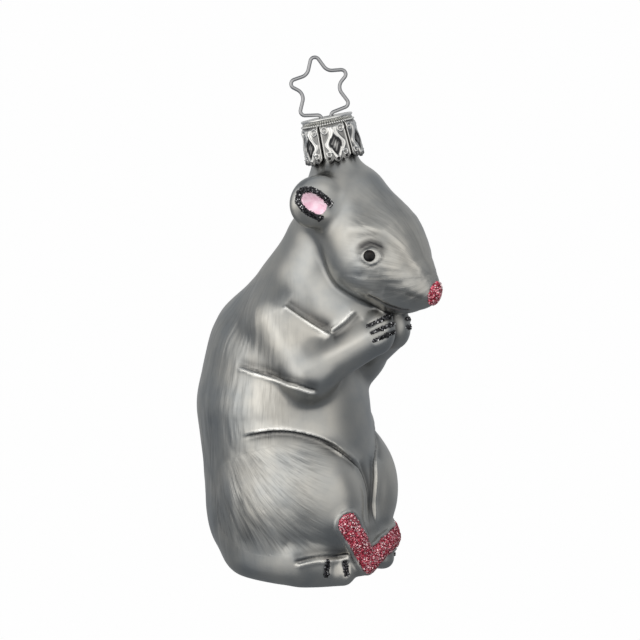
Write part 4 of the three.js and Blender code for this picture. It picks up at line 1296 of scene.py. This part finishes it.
def shell_faces(rows, columns):
    """Faces of two equal grids and the walls between their edges."""

    def index(i, j, layer):
        return layer * rows * columns + i * columns + j

    faces = []
    for i in range(rows - 1):
        for j in range(columns - 1):
            faces.append((index(i, j, 0), index(i, j + 1, 0), index(i + 1, j + 1, 0), index(i + 1, j, 0)))
            faces.append((index(i, j, 1), index(i + 1, j, 1), index(i + 1, j + 1, 1), index(i, j + 1, 1)))
    for i in range(rows - 1):
        for j, flip in ((0, False), (columns - 1, True)):
            wall = (index(i, j, 0), index(i + 1, j, 0), index(i + 1, j, 1), index(i, j, 1))
            faces.append(wall[::-1] if flip else wall)
    for j in range(columns - 1):
        for i, flip in ((0, True), (rows - 1, False)):
            wall = (index(i, j, 0), index(i, j + 1, 0), index(i, j + 1, 1), index(i, j, 1))
            faces.append(wall[::-1] if flip else wall)
    return faces


def lathe(profile, sides):
    """A closed ring from a closed profile of radius and height."""
    points = [(r * math.cos(2 * math.pi * i / sides), r * math.sin(2 * math.pi * i / sides), z)
              for i in range(sides) for r, z in profile]
    n = len(profile)
    faces = [(i * n + k, i * n + (k + 1) % n, (i + 1) % sides * n + (k + 1) % n, (i + 1) % sides * n + k)
             for i in range(sides) for k in range(n)]
    return points, faces


def ring_tree():
    """Repeats a shape round the z axis."""
    tree, source = new_tree("ring_of_copies", ("Count", "NodeSocketInt"), ("Finish", "NodeSocketMaterial"))
    points = add_node(tree, "GeometryNodePoints", links={"Count": source["Count"]})
    step = add_node(tree, "ShaderNodeMath", operation="DIVIDE", links={1: source["Count"]},
                    inputs={0: 2 * math.pi})
    index = add_node(tree, "GeometryNodeInputIndex")
    turn = add_node(tree, "ShaderNodeMath", operation="MULTIPLY",
                    links={0: index.outputs["Index"], 1: step.outputs["Value"]})
    around = add_node(tree, "ShaderNodeCombineXYZ", links={"Z": turn.outputs["Value"]})
    copies = add_node(tree, "GeometryNodeInstanceOnPoints",
                      links={"Points": points.outputs["Points"], "Instance": source["Geometry"],
                             "Rotation": around.outputs["Vector"]})
    return end_tree(tree, copies.outputs["Instances"], source["Finish"])


def ring_of(piece, count, finish):
    tree = bpy.data.node_groups.get("ring_of_copies") or ring_tree()
    return baked(modify(piece, tree, {"Count": count, "Finish": finish}))


def seat_on_neck(piece, turn=0.0):
    set_places(piece.data, on_neck(places_of(piece.data), turn, CAP_TOP))
    return piece


def rim_profile():
    """Section of the rolled rim and the cap's top, as radius and height."""
    arc = [(CAP_RADIUS - RIM_INSET + RIM_BEAD * math.cos(a), RIM_BEAD * math.sin(a) - RIM_BEAD)
           for a in np.radians(np.linspace(-90, 90, 13))]
    foot = CAP_RADIUS - CAP_FLARE * SLIT_TOP / CAP_HEIGHT
    return [(foot, SLIT_TOP - RIM_LAP), *arc, (CAP_RADIUS - 0.5, -TOP_DIP), (LEG_HOLE + 0.3, -TOP_DIP),
            (LEG_HOLE, 0), (LEG_HOLE, -CAP_SHEET), (CAP_RADIUS - CAP_SHEET, -CAP_SHEET),
            (foot - CAP_SHEET, SLIT_TOP - RIM_LAP)]


class ORNAMENT_OT_press_crown(bpy.types.Operator):
    """Press the crown cap: a rolled rim, a row of beads and slit petals with ribs and scrolls"""

    bl_idname = "ornament.press_crown"
    bl_label = "Press Crown"

    def execute(self, context):
        f = settings().fittings
        finish = bright_metal("bright_tinplate", f.metal, f.recess_shade, TIN_ROUGHNESS)
        points, faces, painted_shade = petal_shell(f.relief / MM)
        mesh = mesh_of("crown_petals", points, faces)
        # painted shade of the petals' recesses, for the metal's colour
        store(mesh, "painted_shade", painted_shade)
        petals = ring_of(new_object("crown_petals", outwards(mesh), finish), f.petals, finish)
        seat_on_neck(petals, PETAL_TURN + 180 / f.petals)
        mesh = outwards(mesh_of("crown_rim", *lathe(rim_profile(), ROUND_SIDES)))
        rim = seat_on_neck(new_object("crown_rim", mesh, finish))
        bead = bmesh.new()
        bmesh.ops.create_icosphere(bead, subdivisions=2, radius=BEAD["radius"] * MM)
        bmesh.ops.translate(bead, verts=bead.verts,
                            vec=Vector((CAP_RADIUS + BEAD["out"], 0, -BEAD["down"])) * MM)
        mesh = mesh_from("crown_beads", bead)
        mesh.polygons.foreach_set("use_smooth", [True] * len(mesh.polygons))
        beads = seat_on_neck(ring_of(new_object("crown_beads", mesh, finish), f.beads, finish))
        dress(petals, "crown", "bright_tin", "crown_cap")
        dress(rim, "crown", "bright_tin")
        dress(beads, "crown", "bright_tin")
        return {"FINISHED"}


# The wire hanger, in its own plane: x across and z up the neck from the hook

WIRE = 0.82
STAR_REACH = 7.95
STAR_WAIST = 3.75
STAR_GAP = 1.0  # clear height between the cap's top and the star's lower points
UPPER_POINT = 73.0
LOWER_POINT = 133.0
STAR_TURN = -56.0
LEG_SPACING = 2.2
LEG_TOP = 0.6  # above the cap's top, where the wire turns down
LEG_BEND = 2.6  # below it, where the legs spread
LEG_LENGTH = 15.0
LEG_SPREAD = NECK_BORE - FIT_GAP - 0.5 * WIRE
BENDS = (2.2, 1.0, 2.2, 1.0, 0.9, 2.0, 3.0, 1.0)  # against the common radius, from the star's top down


def star_corner(angle, reach):
    return np.array([math.sin(math.radians(angle)) * reach, 0.0, math.cos(math.radians(angle)) * reach])


def wire_tree():
    """Rounds a wire's corners and gives it its thickness."""
    tree, source = new_tree("bent_wire", ("Radius", "NodeSocketFloat"), ("Bend", "NodeSocketFloat"),
                            ("Finish", "NodeSocketMaterial"))
    line = add_node(tree, "GeometryNodeMeshToCurve", links={"Mesh": source["Geometry"]})
    bend = add_node(tree, "GeometryNodeInputNamedAttribute", inputs={"Name": "bend"}, data_type="FLOAT")
    radius = add_node(tree, "ShaderNodeMath", operation="MULTIPLY",
                      links={0: source["Bend"], 1: bend.outputs["Attribute"]})
    rounded = add_node(tree, "GeometryNodeFilletCurve",
                       links={"Curve": line.outputs["Curve"], "Radius": radius.outputs["Value"]},
                       inputs={"Limit Radius": True, "Count": 12}, mode="POLY")
    section = add_node(tree, "GeometryNodeCurvePrimitiveCircle", links={"Radius": source["Radius"]},
                       inputs={"Resolution": 18})
    tube = add_node(tree, "GeometryNodeCurveToMesh",
                    links={"Curve": rounded.outputs["Curve"], "Profile Curve": section.outputs["Curve"]},
                    inputs={"Fill Caps": True})
    smooth = add_node(tree, "GeometryNodeSetShadeSmooth", links={"Geometry": tube.outputs["Mesh"]})
    return end_tree(tree, smooth.outputs["Geometry"], source["Finish"])


class ORNAMENT_OT_bend_hanger(bpy.types.Operator):
    """Bend the wire hanger: a star above the cap and two sprung legs in the neck"""

    bl_idname = "ornament.bend_hanger"
    bl_label = "Bend Hanger"

    def execute(self, context):
        f = settings().fittings
        foot = float((node_points("star_hanger") @ NECK_AXIS).min()) - CAP_TOP
        middle = CAP_TOP + STAR_GAP + 0.5 * WIRE - star_corner(LOWER_POINT, STAR_REACH)[2]
        cap = CAP_TOP - middle
        half = [star_corner(UPPER_POINT / 2, STAR_WAIST), star_corner(UPPER_POINT, STAR_REACH),
                star_corner((UPPER_POINT + LOWER_POINT) / 2, STAR_WAIST),
                star_corner(LOWER_POINT, STAR_REACH),
                np.array([LEG_SPACING / 2, 0, cap + LEG_TOP]), np.array([LEG_SPACING / 2, 0, cap - LEG_BEND]),
                np.array([LEG_SPREAD, 0, cap - LEG_LENGTH / 2]), np.array([LEG_SPREAD, 0, cap + foot])]
        other = [p * (-1, 1, 1) for p in reversed(half)]
        corners = on_neck([*other, star_corner(0, STAR_REACH), *half], STAR_TURN, middle)
        mesh = bpy.data.meshes.new("hanger_wire")
        mesh.from_pydata((corners * MM).tolist(), [(i, i + 1) for i in range(len(corners) - 1)], [])
        store(mesh, "bend", [*reversed(BENDS), 1.0, *BENDS])
        finish = bright_metal("bright_drawn_wire", f.wire, f.recess_shade, WIRE_ROUGHNESS)
        wire = modify(new_object("hanger_wire", mesh), bpy.data.node_groups.get("bent_wire") or wire_tree(),
                      {"Radius": 0.5 * WIRE * MM, "Bend": f.bend, "Finish": finish})
        dress(baked(wire), "hanger", "bright_wire", "star_hanger")
        return {"FINISHED"}


# The studio


def view_axes(azimuth, elevation):
    """The picture's right, up and towards the camera."""
    right = Vector((math.cos(azimuth), math.sin(azimuth), 0))
    back = Vector((math.sin(azimuth) * math.cos(elevation), -math.cos(azimuth) * math.cos(elevation),
                   math.sin(elevation)))
    return right, back.cross(right), back


PICTURE = 640
SENSOR = 36.0
SHOWN_WHITE = 0.985  # share of white in what the background shows

# Panels of the light tent: degrees round from the camera and above level, how wide, how soft and how bright
TENT_PANELS = (
    (-58, 16, 6, 40, 0.66),
    (-28, 14, 6, 40, 0.42),
    (30, 8, 6, 40, 0.62),
    (45, 55, 6, 40, 0.36),
    (-50, -16, 6, 40, 0.24),
    (-14, 34, 3, 16, 0.6),
    (150, 24, 20, 50, 0.16),
    (-150, 24, 20, 50, 0.16),
)
TENT_LOW = 0.23  # cloth under the figure
TENT_HIGH = 0.31  # cloth round and above it
TENT_RADIUS = 0.7
FLOOR_RADIUS = 6.0
WORLD_STRENGTH = 0.45

# Lamps: degrees round from the camera and above level, distance and size in metres, and watts
LAMPS = {
    "key": (-32, 34, 0.9, 0.6, 9),
    "fill": (50, 22, 1.0, 0.7, 4),
    "back": (165, 45, 1.0, 0.6, 5),
    "top": (0, 85, 0.9, 0.8, 4),
}


def tent_finish():
    """Soft light panels on dark cloth, as a shiny piece reflects them."""
    s = settings().studio
    material = bpy.data.materials.new("light_tent")
    material.use_nodes = True
    tree = material.node_tree
    tree.nodes.clear()
    place = add_node(tree, "ShaderNodeTexCoord").outputs["Object"]
    facing = add_node(tree, "ShaderNodeVectorMath", operation="NORMALIZE", links={0: place}).outputs["Vector"]
    height = add_node(tree, "ShaderNodeSeparateXYZ", links={"Vector": facing}).outputs["Z"]
    cloth = add_node(tree, "ShaderNodeMapRange", interpolation_type="SMOOTHSTEP", links={"Value": height},
                     inputs={"From Min": -0.7, "From Max": 0.1, "To Min": TENT_LOW, "To Max": TENT_HIGH})
    strength = cloth.outputs["Result"]
    for around, above, wide, soft, bright in TENT_PANELS:
        _, _, towards = view_axes(s.azimuth + math.radians(around), math.radians(above))
        dot = add_node(tree, "ShaderNodeVectorMath", operation="DOT_PRODUCT", links={0: facing},
                       inputs={1: towards})
        edge, middle = math.cos(math.radians(wide + soft)), math.cos(math.radians(wide))
        panel = add_node(tree, "ShaderNodeMapRange", interpolation_type="SMOOTHSTEP",
                         links={"Value": dot.outputs["Value"]},
                         inputs={"From Min": edge, "From Max": middle, "To Min": 0.0, "To Max": bright})
        added = add_node(tree, "ShaderNodeMath", operation="ADD",
                         links={0: strength, 1: panel.outputs["Result"]})
        strength = added.outputs["Value"]
    tint = add_node(tree, "ShaderNodeValToRGB", links={"Fac": strength},
                    stops=((0.25, linear("#E4EAF1")), (0.8, linear("#FFFDF9"))))
    light = add_node(tree, "ShaderNodeEmission", links={"Strength": strength, "Color": tint.outputs["Color"]})
    add_node(tree, "ShaderNodeOutputMaterial", links={"Surface": light.outputs["Emission"]})
    return material


def seen_white(tree, plain):
    """Mixes a plain surface with white for the rays that show the background."""
    path = add_node(tree, "ShaderNodeLightPath")
    either = add_node(tree, "ShaderNodeMath", operation="MAXIMUM",
                      links={0: path.outputs["Is Camera Ray"], 1: path.outputs["Is Glossy Ray"]})
    shown = add_node(tree, "ShaderNodeMath", operation="MAXIMUM",
                     links={0: either.outputs["Value"], 1: path.outputs["Is Transmission Ray"]})
    share = add_node(tree, "ShaderNodeMath", operation="MULTIPLY", links={0: shown.outputs["Value"]},
                     inputs={1: SHOWN_WHITE})
    white = add_node(tree, "ShaderNodeEmission", inputs={"Strength": 1.0})
    return add_node(tree, "ShaderNodeMixShader",
                    links={0: share.outputs["Value"], 1: plain, 2: white.outputs["Emission"]})


class ORNAMENT_OT_light_stage(bpy.types.Operator):
    """Set up the floor, the light tent, the lamps and the camera"""

    bl_idname = "ornament.light_stage"
    bl_label = "Light Stage"

    def execute(self, context):
        s = settings().studio
        scene = context.scene
        scene.view_settings.view_transform = "Standard"
        right, up, back = view_axes(s.azimuth, s.elevation)
        span = PICTURE * s.pixel
        aim = (right * (PICTURE / 2 - s.hook_pixel[0]) - up * (PICTURE / 2 - s.hook_pixel[1])) * s.pixel
        data = bpy.data.cameras.new("camera")
        data.lens = s.lens
        data.sensor_width = SENSOR
        data.clip_end = 10
        camera = bpy.data.objects.new("camera", data)
        camera.matrix_world = Matrix.Translation(aim + back * span * s.lens / SENSOR) @ Matrix(
            (right, up, back)).transposed().to_4x4()
        scene.collection.objects.link(camera)
        scene.camera = camera
        self.floor(Vector(CAD_BOX[0]).z - s.drop)
        self.world(scene)
        middle = 0.5 * (Vector(CAD_BOX[0]) + Vector(CAD_BOX[1]))
        self.tent(middle)
        for name, (around, above, far, size, watts) in LAMPS.items():
            _, _, towards = view_axes(s.azimuth + math.radians(around), math.radians(above))
            self.lamp(name, middle, towards, far, size, watts)
        return {"FINISHED"}

    @staticmethod
    def floor(height):
        edit = bmesh.new()
        bmesh.ops.create_circle(edit, cap_ends=True, segments=ROUND_SIDES, radius=FLOOR_RADIUS)
        bmesh.ops.translate(edit, verts=edit.verts, vec=(0, 0, height))
        mesh = mesh_from("floor", edit)
        material, tree, surface = new_material("pale_floor")
        feed(tree, surface, {"Base Color": (*linear("#EDEDEB"), 1), "Roughness": 0.9})
        mixed = seen_white(tree, surface.outputs["BSDF"])
        tree.links.new(mixed.outputs["Shader"], tree.nodes["Material Output"].inputs["Surface"])
        new_object("floor", mesh, material)

    @staticmethod
    def world(scene):
        world = bpy.data.worlds.new("studio")
        world.use_nodes = True
        tree = world.node_tree
        background = tree.nodes["Background"]
        feed(tree, background, {"Color": (*linear("#F3F5F8"), 1), "Strength": WORLD_STRENGTH})
        mixed = seen_white(tree, background.outputs["Background"])
        tree.links.new(mixed.outputs["Shader"], tree.nodes["World Output"].inputs["Surface"])
        scene.world = world

    @staticmethod
    def tent(middle):
        edit = bmesh.new()
        bmesh.ops.create_icosphere(edit, subdivisions=5, radius=TENT_RADIUS)
        bmesh.ops.reverse_faces(edit, faces=edit.faces)
        tent = new_object("light_tent", mesh_from("light_tent", edit), tent_finish())
        tent.location = middle
        tent.visible_camera = False
        tent.visible_diffuse = False
        tent.visible_shadow = False
        tent.visible_transmission = False

    @staticmethod
    def lamp(name, middle, towards, far, size, watts):
        data = bpy.data.lights.new(name, "AREA")
        data.shape = "DISK"
        data.size = size
        data.energy = watts
        lamp = bpy.data.objects.new(name, data)
        lamp.location = middle + towards * far
        lamp.rotation_euler = towards.to_track_quat("Z", "Y").to_euler()
        lamp.visible_glossy = False
        bpy.context.scene.collection.objects.link(lamp)


OPERATORS = (
    ORNAMENT_OT_blow_figure,
    ORNAMENT_OT_set_eyes,
    ORNAMENT_OT_paint_ears,
    ORNAMENT_OT_lay_red_glitter,
    ORNAMENT_OT_lay_black_glitter,
    ORNAMENT_OT_press_crown,
    ORNAMENT_OT_bend_hanger,
    ORNAMENT_OT_light_stage,
)


class ORNAMENT_PT_maker(bpy.types.Panel):
    """Lists the steps that make the ornament, with their settings"""

    bl_idname = "ORNAMENT_PT_maker"
    bl_label = "Hanging Glass Rat"
    bl_space_type = "VIEW_3D"
    bl_region_type = "UI"
    bl_category = "Ornament"

    def draw(self, context):
        for operator in OPERATORS:
            self.layout.operator(operator.bl_idname)
        for group in ("lacquer", "figure", "glitter", "fittings", "studio"):
            box = self.layout.box()
            values = getattr(context.scene.ornament, group)
            for name in values.__annotations__:
                box.prop(values, name)


CLASSES = (LacquerSettings, FigureSettings, GlitterSettings, FittingSettings, StudioSettings,
           OrnamentSettings, *OPERATORS, ORNAMENT_PT_maker)


def register():
    for cls in CLASSES:
        bpy.utils.register_class(cls)
    bpy.types.Scene.ornament = PointerProperty(type=OrnamentSettings)


def unregister():
    del bpy.types.Scene.ornament
    for cls in reversed(CLASSES):
        bpy.utils.unregister_class(cls)


def main():
    register()
    bpy.ops.ornament.blow_figure()
    bpy.ops.ornament.set_eyes()
    bpy.ops.ornament.paint_ears()
    bpy.ops.ornament.lay_red_glitter()
    bpy.ops.ornament.lay_black_glitter()
    bpy.ops.ornament.press_crown()
    bpy.ops.ornament.bend_hanger()
    bpy.ops.ornament.light_stage()


if __name__ == "__main__":
    main()
